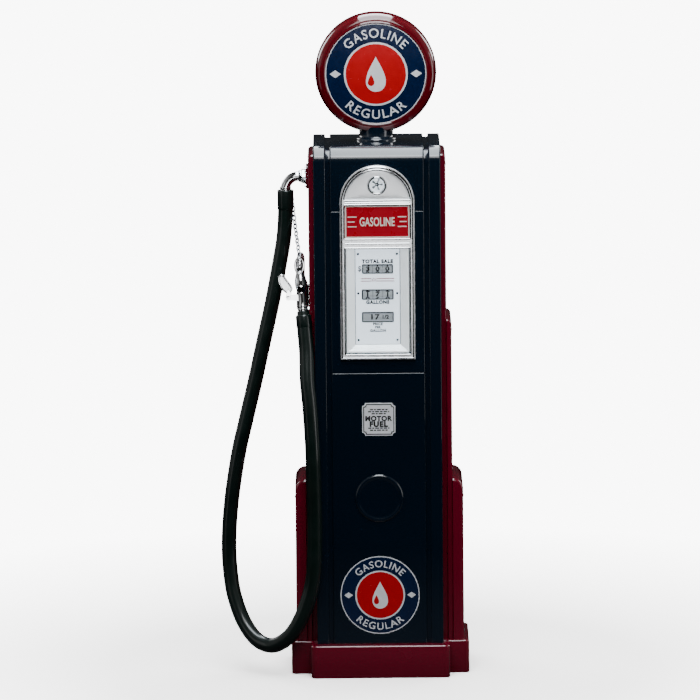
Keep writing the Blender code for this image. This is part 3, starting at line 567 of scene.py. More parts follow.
def screws(places, r, direction=FRONT):
    """Dome-headed screws."""
    dome = [(r * cos(a), r * 0.45 * sin(a)) for a in (radians(9 * i) for i in range(11))]
    profile = [(0.0, -0.001), (r, -0.001)] + dome
    return join(*[lathe(profile, place, direction, 20) for place in places])


# ------------------------------------------------------------------ cabinet
BODY_X = high("right_shell").x
BODY_Y = -low("left_shell").y
BODY_TOP = high("hood_panel").z
BODY_FOOT = low("left_shell").z
PANEL_X = high("dial_door").x
SHOULDER = 0.05  # radius of the cabinet where the front turns into the top
BAND_X = 0.174  # inner edge of the corner band; the groove lies inside it
GROOVE = 0.011  # depth of the groove beside the band
EDGE = 0.0042  # radius of a rolled panel edge
LOUVRES = [0.26 + 0.03 * i for i in range(6)]  # heights of the rear door's slots
COVER_AT = Vector((0, -BODY_Y, middle("access_cover").z))
SIGHT_Z = middle("sight_lens").z


def rolled(x, side):
    """Rolled edge of a pressing as (x, depth) points; side -1 is a left edge, +1 a right one."""
    start = 180 if side < 0 else 270
    return arc(x - side * EDGE, EDGE, EDGE, start, start + 90, 6)


def across(depth):
    """Front view of a middle panel, rolled back to a depth at both edges."""
    return [(-PANEL_X, depth)] + rolled(-PANEL_X, -1) + rolled(PANEL_X, 1) + [(PANEL_X, depth)]


def silhouette(depth, foot, fine=14):
    """Side view of the cabinet from the front foot over the top to the back foot."""
    y, top, r = BODY_Y - depth, BODY_TOP - depth, SHOULDER - depth
    over = arc(-y + r, top - r, r, 180, 90, fine) + arc(y - r, top - r, r, 90, 0, fine)
    return [(-y, foot)] + over + [(y, foot)]


def over_the_top(profile, foot):
    """Sweep (x, depth) points along the cabinet's side view."""
    return loft([[(x, y, z) for y, z in silhouette(depth, foot)] for x, depth in profile],
                closed=False, caps=False)


def corner_shells():
    """Bands that run up the front corner, over the shoulder and down the back."""
    for side, name in ((-1, "left_shell"), (1, "right_shell")):
        profile = [(0.1495, GROOVE), (BAND_X - 0.0025, GROOVE), (BAND_X - 0.0005, GROOVE - 0.001),
                   (BAND_X, GROOVE - 0.003)]
        profile += rolled(BAND_X, -1) + rolled(BODY_X, 1)
        points, faces = over_the_top([(side * x, d) for x, d in profile], BODY_FOOT)
        faces.append(list(range(len(points) - len(silhouette(0, 0)), len(points))))
        ob = bare(name + "_pressing", (points, faces), away_from=(0, 0, 0.9))
        solidify(ob, 0.0025)
        finish(ob, "navy", name)


def hood():
    """Middle panel over the top, between the two bands."""
    profile = across(GROOVE - 0.0005)
    half = len(profile) // 2
    profile[half:half] = [(PANEL_X * k / 4, 0.0) for k in (-2, -1, 0, 1, 2)]
    ob = bare("hood_pressing", over_the_top(profile, low("hood_panel").z), away_from=(0, 0, 1.6))
    solidify(ob, 0.0028)
    sight_hole = rod(0.0335, -0.06, 0.06, (0, -BODY_Y, SIGHT_Z), FRONT, 40)
    lamp_hole = rod(0.022, -0.05, 0.05, (0, 0, BODY_TOP), UP, 32)
    cut(ob, sight_hole, lamp_hole)
    finish(ob, "navy", "hood_panel")


def pan(name, node, facing, openings=()):
    """A pressed door or panel with rounded upright edges and returned sides."""
    z0, z1 = low(node).z, high(node).z
    sheet = 0.003
    outline = [(x, facing * (BODY_Y - d)) for x, d in across(GROOVE - 0.0004)]
    ob = bare(name, loft([at_z(outline, z) for z in (z0, z1)]))
    y0, y1 = sorted((facing * (BODY_Y - sheet), facing * (BODY_Y - 0.03)))
    cut(ob, block((-PANEL_X + sheet, y0, z0 + sheet), (PANEL_X - sheet, y1, z1 - sheet)),
        *openings)
    finish(ob, "navy", node)
    soften(ob, 0.0012, 2, 60)


def doors():
    """The four pressed doors and panels, with their openings."""
    window = block((-0.106, -0.25, 1.112), (0.106, -0.15, 1.58))
    cover_hole = rod(0.0645, -0.05, 0.05, COVER_AT, FRONT, 48)
    slots = [block((-0.09, 0.15, z), (0.09, 0.25, z + 0.008)) for z in LOUVRES]
    pan("dial_door_pressing", "dial_door", -1, [window])
    pan("lower_door_pressing", "lower_door", -1, [cover_hole])
    pan("rear_upper_pressing", "rear_upper_panel", 1)
    pan("rear_door_pressing", "rear_lower_door", 1, slots)


def louvres():
    """Pressed hoods over the slots in the rear door."""
    shapes = []
    for z in LOUVRES:
        loops = []
        for k in range(25):
            x = -0.094 + 0.188 * k / 24
            grow = max(0.05, (1 - abs(x / 0.094) ** 5)) ** 0.6
            section = [(0.0085 * grow * sin(radians(a)), 0.017 * grow * cos(radians(a)))
                       for a in range(0, 91, 15)]
            inner = [(0.82 * y, 0.86 * h) for y, h in reversed(section)]
            loops.append([(x, BODY_Y - 0.0004 + y, z - 0.002 + h) for y, h in section + inner])
        shapes.append(loft(loops))
    detail("rear_door_louvres", join(*shapes), "navy", "rear_lower_door")


def door_fittings():
    """Access cover, rear screws and the cam lock."""
    disc = [(0.0, 0.003), (0.06, 0.0028), (0.067, 0.0028), (0.069, 0.0034), (0.072, 0.0044),
            (0.075, 0.0046), (0.078, 0.0038), (0.08, 0.0024), (0.0812, 0.0012),
            (0.0815, 0.0006), (0.063, 0.0006), (0.063, -0.008), (0.0, -0.008)]
    piece("access_cover_pressing", lathe(disc, COVER_AT, FRONT, 96), "navy", "access_cover")
    for name, node, heights in (("rear_panel_screws", "rear_upper_panel", (1.062, 1.32, 1.573)),
                                ("rear_door_screws", "rear_lower_door", (0.135, 0.58, 1.02))):
        places = [(x, BODY_Y, z) for x in (-0.142, 0.142) for z in heights]
        detail(name, screws(places, 0.0052, BACK), "screw", node)
    lock = [(0.0, 0.004), (0.006, 0.004), (0.0085, 0.0035), (0.0105, 0.002), (0.011, -0.001),
            (0.0, -0.001)]
    key = block((-0.0008, 0.2035, 0.975), (0.0008, 0.2046, 0.985))
    detail("rear_door_lock", join(lathe(lock, (0, BODY_Y, 0.98), BACK, 40), key), "chrome",
           "rear_lower_door")


def side_casings():
    """Stepped side casings with rounded front, back and top edges, and their screws."""
    for side, hand in ((-1, "left"), (1, "right")):
        below, spots = low(f"{hand}_lower_casing").z, []
        for label, top_r, e, inset, drop in (("lower", 0.0345, 0.009, 0.022, 0.06),
                                             ("middle", 0.0155, 0.006, 0.02, 0.035),
                                             ("upper", 0.0125, 0.006, 0.02, 0.035)):
            node = f"{hand}_{label}_casing"
            lo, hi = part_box(node)
            inner, outer = sorted((abs(lo.x), abs(hi.x)))
            turns = [radians(a) for a in range(0, 91, 15)]
            rows = [(lo.y + e - e * cos(a), e * (1 - sin(a))) for a in turns]
            rows += [(-y, back) for y, back in reversed(rows)]
            loops = []
            for y, back in rows:
                x1, top, r = outer - back, hi.z - back, max(top_r - back, 0.002)
                section = [(inner, lo.z), (x1, lo.z)]
                section += arc(x1 - r, top - r, r, 0, 90, 12) + [(inner, top)]
                loops.append([(side * x, y, z) for x, z in section])
            piece(node + "_pressing", loft(loops), "maroon", node)
            spots += [(side * (outer - 0.0002), y, z) for y in (lo.y + inset, hi.y - inset)
                      for z in (below + 0.03, hi.z - drop)]
            below = hi.z
        detail(f"{hand}_casing_screws", screws(spots, 0.005, RIGHT * side), "screw",
               f"{hand}_lower_casing")


def plinth():
    """Cast plinth: a centre block with rounded corners and a wing each side."""
    lo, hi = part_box("base_plinth")
    top_r, foot_r = 0.0055, 0.004

    def casting(half_x, half_y, corner, top):
        rows = [(lo.z, foot_r * 0.8), (lo.z + foot_r * 0.3, foot_r * 0.25), (lo.z + foot_r, 0.0)]
        rows += [(top - top_r + top_r * sin(radians(a)), top_r * (1 - cos(radians(a))))
                 for a in range(0, 91, 15)]
        return loft([at_z(rounded(i - half_x, half_x - i, i - half_y, half_y - i, corner, 8), z)
                     for z, i in rows])

    ob = bare("plinth_casting", casting(0.235, 0.24, 0.016, hi.z))
    cut(ob, casting(hi.x, 0.155, 0.012, hi.z + 0.0008), operation="UNION")
    cut(ob, block((-0.206, -0.182, -0.02), (0.206, 0.182, 0.2)))
    finish(ob, "maroon", "base_plinth", sharp=45)


# ------------------------------------------------------------------ dial window
BEZEL_HALF = high("bezel").x
BEZEL_FOOT = low("bezel").z
BEZEL_SPRING = high("bezel").z - BEZEL_HALF
BEZEL_FACE = low("bezel").y + 0.0035
BEZEL_BACK = high("bezel").y
SILL = 1.631  # foot of the half-round window in the arch
AD_BAR = (low("ad_glass").z + high("dial_glass").z) / 2
SILL_BAR = (high("ad_glass").z + SILL) / 2
PRINT = 0.00002  # gap between a plate and its print
INK = 0.0003  # thickness of printed marks


def arch(inset):
    half, foot = BEZEL_HALF - inset, BEZEL_FOOT + inset
    return [(-half, foot), (half, foot)] + arc(0, BEZEL_SPRING, half, 0, 180, 48)


def lunette_outline(inset, sill):
    r = 0.112 - inset
    rise = degrees(asin((sill - BEZEL_SPRING) / r))
    return arc(0, BEZEL_SPRING, r, rise, 180 - rise, 48)


def bezel():
    """Plated surround: a body with a rolled outer edge and raised window frames."""
    rows = [(0.0, BEZEL_BACK), (0.0, BEZEL_FACE + 0.004), (0.0012, BEZEL_FACE + 0.0012),
            (0.004, BEZEL_FACE)]
    ob = bare("bezel_plating", loft([at_y(arch(inset), y) for inset, y in rows]))
    windows = []
    for lo, hi in (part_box("dial_glass"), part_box("ad_glass")):
        windows.append(rounded(lo.x - 0.0004, hi.x + 0.0004, lo.z - 0.0004, hi.z + 0.0004,
                               0.0015, 2))
    half_round = lunette_outline(0.0, SILL)
    cut(ob, *[plate(w, -0.25, -0.15) for w in windows])
    cut(ob, plate(half_round, -0.25, BEZEL_BACK - 0.006))
    cut(ob, rod(0.0325, -0.05, 0.05, (0, BEZEL_BACK, SIGHT_Z), FRONT, 48))
    finish(ob, "plating", "bezel")
    soften(ob, 0.0011, 2, 50)
    frames = [hoop_tube(at_y(arch(0.0062), BEZEL_FACE - 0.0006), 0.004, 14, 0.85)]
    frames += [hoop_tube(at_y(w, BEZEL_FACE), 0.0026, 10, 0.8) for w in windows + [half_round]]
    frames += [tube([(-0.108, BEZEL_FACE, z), (0.108, BEZEL_FACE, z)], 0.0024, 12)
               for z in (AD_BAR, SILL_BAR)]
    detail("bezel_mouldings", join(*frames), "chrome", "bezel")
    places = [(x, BEZEL_FACE, z) for x in (-0.1185, 0.1185) for z in (1.12, 1.3, 1.485)]
    detail("bezel_screws", screws(places, 0.0038), "chrome", "bezel")


def reach(outline, centre_z, d):
    """How far an outline lies from (0, centre_z) in the direction d."""
    nearest = 0.2
    for (x0, z0), (x1, z1) in zip(outline, outline[1:] + outline[:1]):
        ex, ez = x1 - x0, z1 - z0
        det = d.x * ez - d.y * ex
        if abs(det) < 1e-9:
            continue
        s = (x0 * ez - (z0 - centre_z) * ex) / det
        t = (x0 * d.y - (z0 - centre_z) * d.x) / det
        if s > 0 and -0.001 <= t <= 1.001:
            nearest = min(nearest, s)
    return nearest


def lunette():
    """Domed silver panel in the arch, round the sight glass."""
    outline = lunette_outline(0.0006, SILL + 0.0008)
    face, hole, rows = BEZEL_BACK - 0.0062, 0.0328, 14
    spokes = [(Vector((c, s)), reach(outline, SIGHT_Z, Vector((c, s)))) for c, s in ring(1.0, 96)]
    loops = []
    for i in range(rows + 1):
        t = i / rows
        swell = 0.0042 * sin(pi * (0.5 + 0.5 * t)) ** 0.8 if t < 1 else 0.0
        loops.append([(d.x * (hole + (far - hole) * t), face - swell - 0.0002,
                       SIGHT_Z + d.y * (hole + (far - hole) * t)) for d, far in spokes])
    back = [at_y([(x, z) for x, _, z in loop], face + 0.0015) for loop in (loops[-1], loops[0])]
    detail("lunette_panel", loft(loops + back, turn=True), "silver", "bezel", sharp=50)


def sight_glass():
    """Sight glass in the arch: ring, cup, dome and a five-bladed spinner."""
    lo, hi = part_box("sight_housing")
    r = (hi.x - lo.x) / 2
    place = (0, lo.y, SIGHT_Z)
    rim = [(0.0238, -0.01), (0.0238, -0.0015), (0.025, 0.0), (0.0262, 0.0022), (0.0285, 0.003),
           (0.0305, 0.002), (r, -0.0005), (r, -0.01)]
    cup = [(0.0, -0.044), (0.0225, -0.044), (0.0237, -0.0105), (r, -0.0105), (r, -0.05),
           (0.0, -0.05)]
    pin = rod(0.0016, -0.046, -0.0175, place, FRONT, 16)
    detail("sight_ring", lathe(rim, place, FRONT, 72, hoop=True), "chrome", "sight_housing")
    # the cup takes the mask material, with its painted glow
    piece("sight_cup", join(lathe(cup, place, FRONT, 72), pin), "mask", "sight_housing")
    edge = 0.0232
    dome = [(edge * sin(radians(a)), 0.0068 * cos(radians(a))) for a in range(0, 91, 10)]
    dome += [(edge, -0.004), (0.0, -0.004)]
    piece("sight_dome", lathe(dome, (0, lo.y - 0.0006, SIGHT_Z), FRONT, 64), "glass",
          "sight_lens")
    spin = middle("sight_spinner")
    hub = [(0.0, 0.0036), (0.004, 0.003), (0.0056, 0.0016), (0.006, 0.0), (0.006, -0.003),
           (0.0022, -0.003)]
    detail("propeller_hub", lathe(hub, spin, FRONT, 32), "gunmetal", "sight_spinner")
    blades = []
    for i in range(5):
        a = radians(72 * i)
        radial, across = Vector((cos(a), 0, sin(a))), Vector((-sin(a), 0, cos(a)))
        loops = []
        for s in range(7):
            t = s / 6
            centre = spin + radial * (0.004 + 0.0155 * t)
            twist = radians(52 - 28 * t)
            u = across * cos(twist) + FRONT * sin(twist)
            v = FRONT * cos(twist) - across * sin(twist)
            loops.append([centre + u * (0.0026 + 0.002 * t) * c + v * 0.0006 * q
                          for c, q in ring(1.0, 12)])
        blades.append(loft(loops))
    piece("propeller_blades", join(*blades), "screw", "sight_spinner")


def ad_panel():
    """Advertising panel: red ground, cream border, speed lines and a plain word."""
    lo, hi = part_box("ad_glass")
    soften(piece("ad_panel_board", block(lo, hi), "ad_red", "ad_glass"), 0.0008, 2)
    x, z0, z1, strip = hi.x - 0.0035, lo.z + 0.0035, hi.z - 0.0035, 0.004
    mid = (lo.z + hi.z) / 2
    marks = [rule(-x, x, z0, z0 + strip), rule(-x, x, z1 - strip, z1),
             rule(-x, -x + strip, z0 + strip, z1 - strip),
             rule(x - strip, x, z0 + strip, z1 - strip)]
    for side in (-1, 1):
        for k, long in ((1, 0.03), (0, 0.024), (-1, 0.03)):
            a, b = sorted((side * (x - 0.009), side * (x - 0.009 - long)))
            z = mid + 0.0165 * k
            marks.append(rule(a, b, z - 0.0016, z + 0.0016))
    detail("ad_panel_border", join(*[plate(m, lo.y - 0.0006, lo.y - PRINT) for m in marks]),
           "cream", "ad_glass")
    word = stretched(letters("GASOLINE", 0.027, 0.00045, 1.02), 0.92, 1.55)
    detail("ad_panel_word", flat_print(word, 0.0, mid, lo.y - 2 * PRINT), "cream", "ad_glass")


def dial():
    """Dial plate print, screws and the rims of the number windows."""
    lo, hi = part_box("dial_plate")
    face = lo.y
    sale, gallons, price = (middle(n).z for n in ("sale_dimes", "gallons_tenths", "price_wheel"))
    rims = []
    for z, half, tall in ((sale, 0.0503, 0.0143), (gallons, 0.0518, 0.0158),
                          (price, 0.0518, 0.0158)):
        outline = rounded(-half, half, z - tall, z + tall, 0.002, 3)
        rims.append(hoop_tube(at_y(outline, face - 0.0002), 0.0022, 8))
    edge = rule(lo.x + 0.0012, hi.x - 0.0012, lo.z + 0.0012, hi.z - 0.0012)
    rims.append(hoop_tube(at_y(edge, face - 0.0002), 0.0011, 8))
    detail("window_rims", join(*rims), "ink", "dial_plate")
    words = [("TOTAL SALE", 0.0165, 0.0011, 1.16, 0.0, sale + 0.026),
             ("$", 0.025, 0.0003, 1.0, -0.06, sale),
             ("GALLONS", 0.0158, 0.0011, 1.16, 0.0, gallons - 0.026),
             ("PRICE", 0.0118, 0.0006, 1.12, 0.0, price - 0.0235),
             ("PER", 0.0105, 0.0006, 1.12, 0.0, price - 0.0345),
             ("GALLON", 0.0125, 0.0006, 1.12, 0.0, price - 0.046)]
    detail("dial_words", join(*[flat_print(letters(text, size, bold, spacing), x, z, face - PRINT)
                                for text, size, bold, spacing, x, z in words]), "ink", "dial_plate")
    z = (sale + gallons) / 2 + 0.0065
    y0, y1 = face - 0.0004, face - PRINT
    lines = [plate(rule(x0, x1, z + dz - 0.0013, z + dz + 0.0013), y0, y1)
             for x0, x1 in ((-0.056, -0.021), (-0.005, 0.056)) for dz in (-0.0042, 0.0042)]
    diamond = [(-0.021, z), (-0.013, z - 0.0065), (-0.005, z), (-0.013, z + 0.0065)]
    hole = [(-0.018, z), (-0.013, z - 0.004), (-0.008, z), (-0.013, z + 0.004)]
    lines.append(frame_line(diamond, hole, y0, y1))
    detail("dial_red_rule", join(*lines), "red", "dial_plate")
    places = [(s * 0.0655, face, v) for s in (-1, 1)
              for v in (hi.z - 0.018, gallons + 0.004, lo.z + 0.016)]
    detail("dial_screws", screws(places, 0.0042), "gunmetal", "dial_plate")


WHEEL_R = (high("sale_cents").z - low("sale_cents").z) / 2


def wheels():
    """Number wheels with raised figures; each turns with its own body."""
    shown = {"sale_dollars": 3, "sale_dimes": 0, "sale_cents": 0, "gallons_units": 1,
             "gallons_tenths": 7, "gallons_fine": 1}
    for node, front in shown.items():
        figures = [on_wheel(str((front + k) % 10), 0.0205, 0.0008, 1.0, 1.35, node, 0.0, 36.0 * k)
                   for k in range(10)]
        wheel(node, 0.46, figures)
    node, figures = "price_wheel", []
    for k in range(6):
        turn = 60.0 * k
        figures += [on_wheel(str(17 + k), 0.025, 0.0009, 1.1, 1.25, node, -0.008, turn),
                    on_wheel("1/2", 0.0175, 0.0006, 1.0, 1.1, node, 0.0265, turn)]
    wheel(node, 0.49, figures)


def wheel(node, shoulder, figures):
    """A drum with chamfered rims; shoulder is the share of the width where they start."""
    r, wide = WHEEL_R, high(node).x - low(node).x
    rim = [(0.0054, 0.5), (r - 0.0012, 0.5), (r, shoulder), (r, -shoulder), (r - 0.0012, -0.5),
           (0.0054, -0.5)]
    drum = lathe([(a, b * wide) for a, b in rim], middle(node), RIGHT, 80, hoop=True)
    # the drum material glows a little: painted light, not a lamp
    piece(node + "_drum", drum, "drum", node)
    detail(node + "_figures", join(*figures), "ink", node)


def on_wheel(text, size, bold, spacing, wide, node, shift, turn):
    """A figure bent round a wheel, turned down from the front by degrees."""
    points, faces = sliced(stretched(letters(text, size, bold, spacing, depth=0.0003), wide))
    mid = middle(node) + Vector((shift, 0, 0))
    out = []
    for p in points:
        a = radians(turn) + p.y / WHEEL_R
        far = WHEEL_R + p.z - 0.00005
        out.append(Vector((mid.x + p.x, mid.y - far * cos(a), mid.z + far * sin(a))))
    return out, faces


def sliced(shape, rows=9):
    """Cut artwork into rows, so that it can follow a curve."""
    mesh = bpy.data.meshes.new("rows")
    mesh.from_pydata(shape[0], [], shape[1])
    bm = bmesh.new()
    bm.from_mesh(mesh)
    foot = min(p.y for p in shape[0])
    tall = max(p.y for p in shape[0]) - foot
    for k in range(1, rows):
        bmesh.ops.bisect_plane(bm, geom=bm.verts[:] + bm.edges[:] + bm.faces[:],
                               plane_co=(0, foot + tall * k / rows, 0), plane_no=(0, 1, 0))
    bm.to_mesh(mesh)
    bm.free()
    return shape_of(mesh)


def label():
    """Enamelled notice plate with a plain product word and ruled lines."""
    lo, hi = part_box("label_plate")
    mid, y = middle("label_plate").z, lo.y - PRINT
    tall, pts = hi.z - mid, []
    for sx, sz, start in ((1, 1, 270), (-1, 1, 0), (-1, -1, 90), (1, -1, 180)):
        pts += arc(sx * hi.x, mid + sz * tall, 0.01, start, start - 90, 6)
    soften(piece("label_enamel", plate(pts, lo.y, hi.y), "white", "label_plate"), 0.0004, 2)

    def inset(d):
        return [(x * (hi.x - d) / hi.x, mid + (z - mid) * (tall - d) / tall) for x, z in pts]

    marks = [frame_line(inset(0.0035), inset(0.0068), y - INK, y)]
    dashes = (0.011, 0.007, 0.014, 0.009, 0.012)
    for z, half in ((0.0335, 0.03), (0.0265, 0.036), (0.0195, 0.024), (-0.03, 0.036),
                    (-0.037, 0.03)):
        x, step = -half, 0
        while x < half:
            x1 = min(half, x + dashes[step % 5])
            marks.append(plate(rule(x, x1, mid + z - 0.0021, mid + z + 0.0021), y - INK, y))
            x = x1 + 0.0028
            step += 1
    marks.append(flat_print(letters("MOTOR", 0.023, 0.0012, 1.12), 0.0, mid + 0.003, y))
    marks.append(flat_print(letters("FUEL", 0.025, 0.0015, 1.18), 0.0, mid - 0.0165, y))
    detail("label_print", join(*marks), "ink", "label_plate")
    places = [(sx * (hi.x - 0.0125), lo.y, mid + sz * 0.0435) for sx in (-1, 1) for sz in (-1, 1)]
    detail("label_rivets", screws(places, 0.0026), "screw", "label_plate")


# ------------------------------------------------------------------ round emblem
EMBLEM_R = 0.1715  # radius of the roundel on the globe
FILM = 0.0006  # thickness of the roundel's words


def droplet(size, x, z, n=64):
    """Teardrop outline round (x, z), point up."""
    return [(x + size * 0.78 * sin(t) * sin(t / 2) ** 1.4, z + size * cos(t))
            for t in (2 * pi * i / n for i in range(n))]


def emblem(prefix, radius, surface, node, lift=0.0005):
    """White, navy and red roundel with plain words and a fuel drop."""
    s = radius / EMBLEM_R
    rim, disc = band(0.108 * s, 0.1672 * s, lift, surface), band(0.0002, 0.1015 * s, lift, surface)
    detail(prefix + "_navy_ring", rim, "lens_navy", node, 60)
    detail(prefix + "_red_disc", disc, "red", node, 60)

    def raised(x, z, up):
        return surface(x, z, up + lift * 0.9)

    def higher(x, z, up):
        return surface(x, z, up + lift * 0.9 + FILM)

    marks = []
    for text, top in (("GASOLINE", True), ("REGULAR", False)):
        word = letters(text, 0.044 * s, 0.0004 * s, 1.16, FILM)
        marks.append(bent_print(word, 0.1378 * s, top, raised))
    for x in (-0.1365 * s, 0.1365 * s):
        gem = [(x - 0.019 * s, 0.0), (x, -0.013 * s), (x + 0.019 * s, 0.0), (x, 0.013 * s)]
        marks.append(loft([[raised(a, b, up) for a, b in gem] for up in (0.0, FILM)]))
    marks.append(dished(droplet(0.06 * s, 0.0, 0.0), FILM, raised))
    detail(prefix + "_white_print", join(*marks), "white", node, 60)
    spark = droplet(0.02 * s, -0.016 * s, -0.02 * s, 32)
    detail(prefix + "_drop_mark", dished(spark, 0.0004, higher), "red", node, 60)


def door_emblem():
    """The same roundel, smaller, low on the front door."""
    radius, ground_lift, height = 0.134, 0.0003, 0.28

    def ground(x, z, lift):
        return Vector((x, -BODY_Y - 0.0001 - lift, height + z))

    def surface(x, z, lift):
        return ground(x, z, lift + ground_lift)

    detail("door_emblem_ground", band(0.0002, radius, ground_lift, ground), "white",
           "label_plate", 60)
    emblem("door_emblem", radius, surface, "label_plate", ground_lift)


# ------------------------------------------------------------------ globe
GLOBE = Vector((0, 0, middle("globe_body").z))
GLOBE_R = high("globe_body").x
LENS_R = high("front_lens").x
LENS_FACE = -low("front_lens").y
LENS_RISE = 0.014  # how far the lens bulges at its middle
RIM_Y = -high("front_lens").y + 0.006


def lens_surface(side):
    """Domed lens face; side -1 is the front, +1 the back, where left and right swap."""
    def surface(x, z, lift):
        y = LENS_FACE - LENS_RISE * (hypot(x, z) / LENS_R) ** 2 + lift
        return Vector((-side * x, side * y, GLOBE.z + z))
    return surface


def globe_outline():
    """Half section of the globe's rim, front to back, as (radius, distance along the axis)."""
    w, tilt, n = RIM_Y, 68, 26
    lip = [(0.1775, w + 0.0003), (0.18, w + 0.0002), (0.1835, w - 0.0006)]
    crown = [(GLOBE_R - 0.0215 * (1 - cos(a) ** 0.72), (w - 0.004) * sin(a) / sin(radians(tilt)))
             for a in (radians(tilt - 2 * tilt * i / n) for i in range(n + 1))]
    return lip + crown + [(r, -y) for r, y in reversed(lip)]


def globe():
    """Rim, gaskets and the two lenses with their prints."""
    w, seat = RIM_Y, LENS_R + 0.0006
    inner = [(seat, -w), (seat, -w + 0.012), (0.19, -0.045), (0.19, 0.045), (seat, w - 0.012),
             (seat, w)]
    piece("globe_shell", lathe(globe_outline() + inner, GLOBE, FRONT, 128, hoop=True), "globe",
          "globe_body", 45)
    for axis, name in ((FRONT, "front"), (BACK, "back")):
        node = f"{name}_lens"
        gasket = [(LENS_R - 0.0015, w - 0.003), (LENS_R - 0.001, w + 0.0012),
                  (LENS_R + 0.002, w + 0.003), (0.1775, w + 0.0014), (0.179, w - 0.002)]
        detail(f"{name}_gasket", lathe(gasket, GLOBE, axis, 128, hoop=True), "globe", node)
        dome = [(LENS_R * k / 24, LENS_FACE - LENS_RISE * (k / 24) ** 2) for k in range(25)]
        dome += [(LENS_R, LENS_FACE - 0.019), (LENS_R * 0.5, LENS_FACE - 0.009),
                 (0.0, LENS_FACE - 0.005)]
        piece(f"{name}_lens_glass", lathe(dome, GLOBE, axis, 128), "white", node, 50)
        emblem(f"{name}_emblem", EMBLEM_R, lens_surface(axis.y), node)


def collar():
    """Neck under the globe with a bead and a base flange."""
    lo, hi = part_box("globe_collar")
    tall = hi.z - lo.z
    profile = [(0.026, tall), (0.056, tall), (0.0578, 0.047), (0.058, 0.04), (0.0572, 0.016),
               (0.058, 0.0125), (0.0602, 0.0105), (0.063, 0.0095), (0.0662, 0.008),
               (0.068, 0.005), (0.0682, 0.0), (0.026, 0.0)]
    ob = bare("globe_neck", lathe(profile, (0, 0, lo.z), UP, 96, hoop=True))
    seat = [(r + 0.0004, w) for r, w in globe_outline()]
    cut(ob, lathe([(0.0, seat[0][1])] + seat + [(0.0, seat[-1][1])], GLOBE, FRONT, 160))
    finish(ob, "navy", "globe_collar", sharp=40)


# ------------------------------------------------------------------ hose, outlet and nozzle
NOZZLE_IN = Vector((-0.252, -0.165, 1.25))  # where the hose enters the nozzle
NOZZLE_TOP = Vector((-0.262, -0.142, 1.385))  # top of the valve body
ALONG = (NOZZLE_TOP - NOZZLE_IN).normalized()
SPOUT_AT = NOZZLE_IN + ALONG * 0.1354
PIVOT = Vector((-0.302, -0.1552, 1.295))  # pin of the lever
LOOP_AT = Vector((-0.263, -0.156, 1.404))  # middle of the hanging loop
BOOT_AT = Vector((-0.256, -0.075, low("nozzle_boot").z))
ELBOW_R = 0.045  # radius of the outlet bend
HOSE_TOP = Vector((-0.309, 0.0, 1.64))  # where the hose leaves the bend
CLAMP_Z = 1.648  # height of the chain clamp
OUTLET_Z = middle("outlet_nut").z


def hose():
    """Rubber hose: a long loop from the elbow down and back up to the nozzle."""
    path = [HOSE_TOP, (-0.31, -0.001, 1.56), (-0.316, -0.004, 1.48),
            (-0.33, -0.01, 1.398), (-0.357, -0.018, 1.261), (-0.388, -0.026, 1.125),
            (-0.419, -0.033, 0.988), (-0.452, -0.038, 0.852), (-0.478, -0.042, 0.74),
            (-0.503, -0.047, 0.578), (-0.513, -0.053, 0.43), (-0.506, -0.066, 0.314),
            (-0.49, -0.084, 0.238), (-0.461, -0.108, 0.168), (-0.42, -0.14, 0.118),
            (-0.372, -0.172, 0.103), (-0.326, -0.202, 0.126), (-0.286, -0.222, 0.174),
            (-0.247, -0.235, 0.262), (-0.225, -0.239, 0.362), (-0.2195, -0.24, 0.5),
            (-0.2205, -0.24, 0.64), (-0.2245, -0.239, 0.8), (-0.232, -0.229, 0.93),
            (-0.24, -0.213, 1.02)]
    path += [NOZZLE_IN - ALONG * back for back in (0.14, 0.08, 0.0414)]
    ob = bare("hose_rubber", tube(spline(path, 9), 0.0255, 36))
    finish(ob, "rubber", "hose", sharp=60, rides=False)
    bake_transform(ob)
    cuff = [(0.0, 0.0), (0.0262, 0.0), (0.0274, -0.0012), (0.0278, -0.003), (0.0276, -0.06),
            (0.0268, -0.066), (0.025, -0.068), (0.0, -0.068)]
    top = HOSE_TOP + Vector((0, 0, 0.0008))
    detail("hose_top_cuff", lathe(cuff, top, UP, 48), "rubber", "hose")


def ferrule():
    """Rubber cuff on the hose's nozzle end."""
    profile = [(0.0, 0.0005), (0.019, 0.0005), (0.0205, -0.001), (0.021, -0.006),
               (0.0215, -0.012), (0.025, -0.0135), (0.0262, -0.015), (0.0267, -0.018),
               (0.0267, -0.052), (0.026, -0.0545), (0.025, -0.055), (0.0, -0.055)]
    piece("hose_end_cuff", lathe(profile, NOZZLE_IN, ALONG, 48), "rubber", "hose_ferrule")


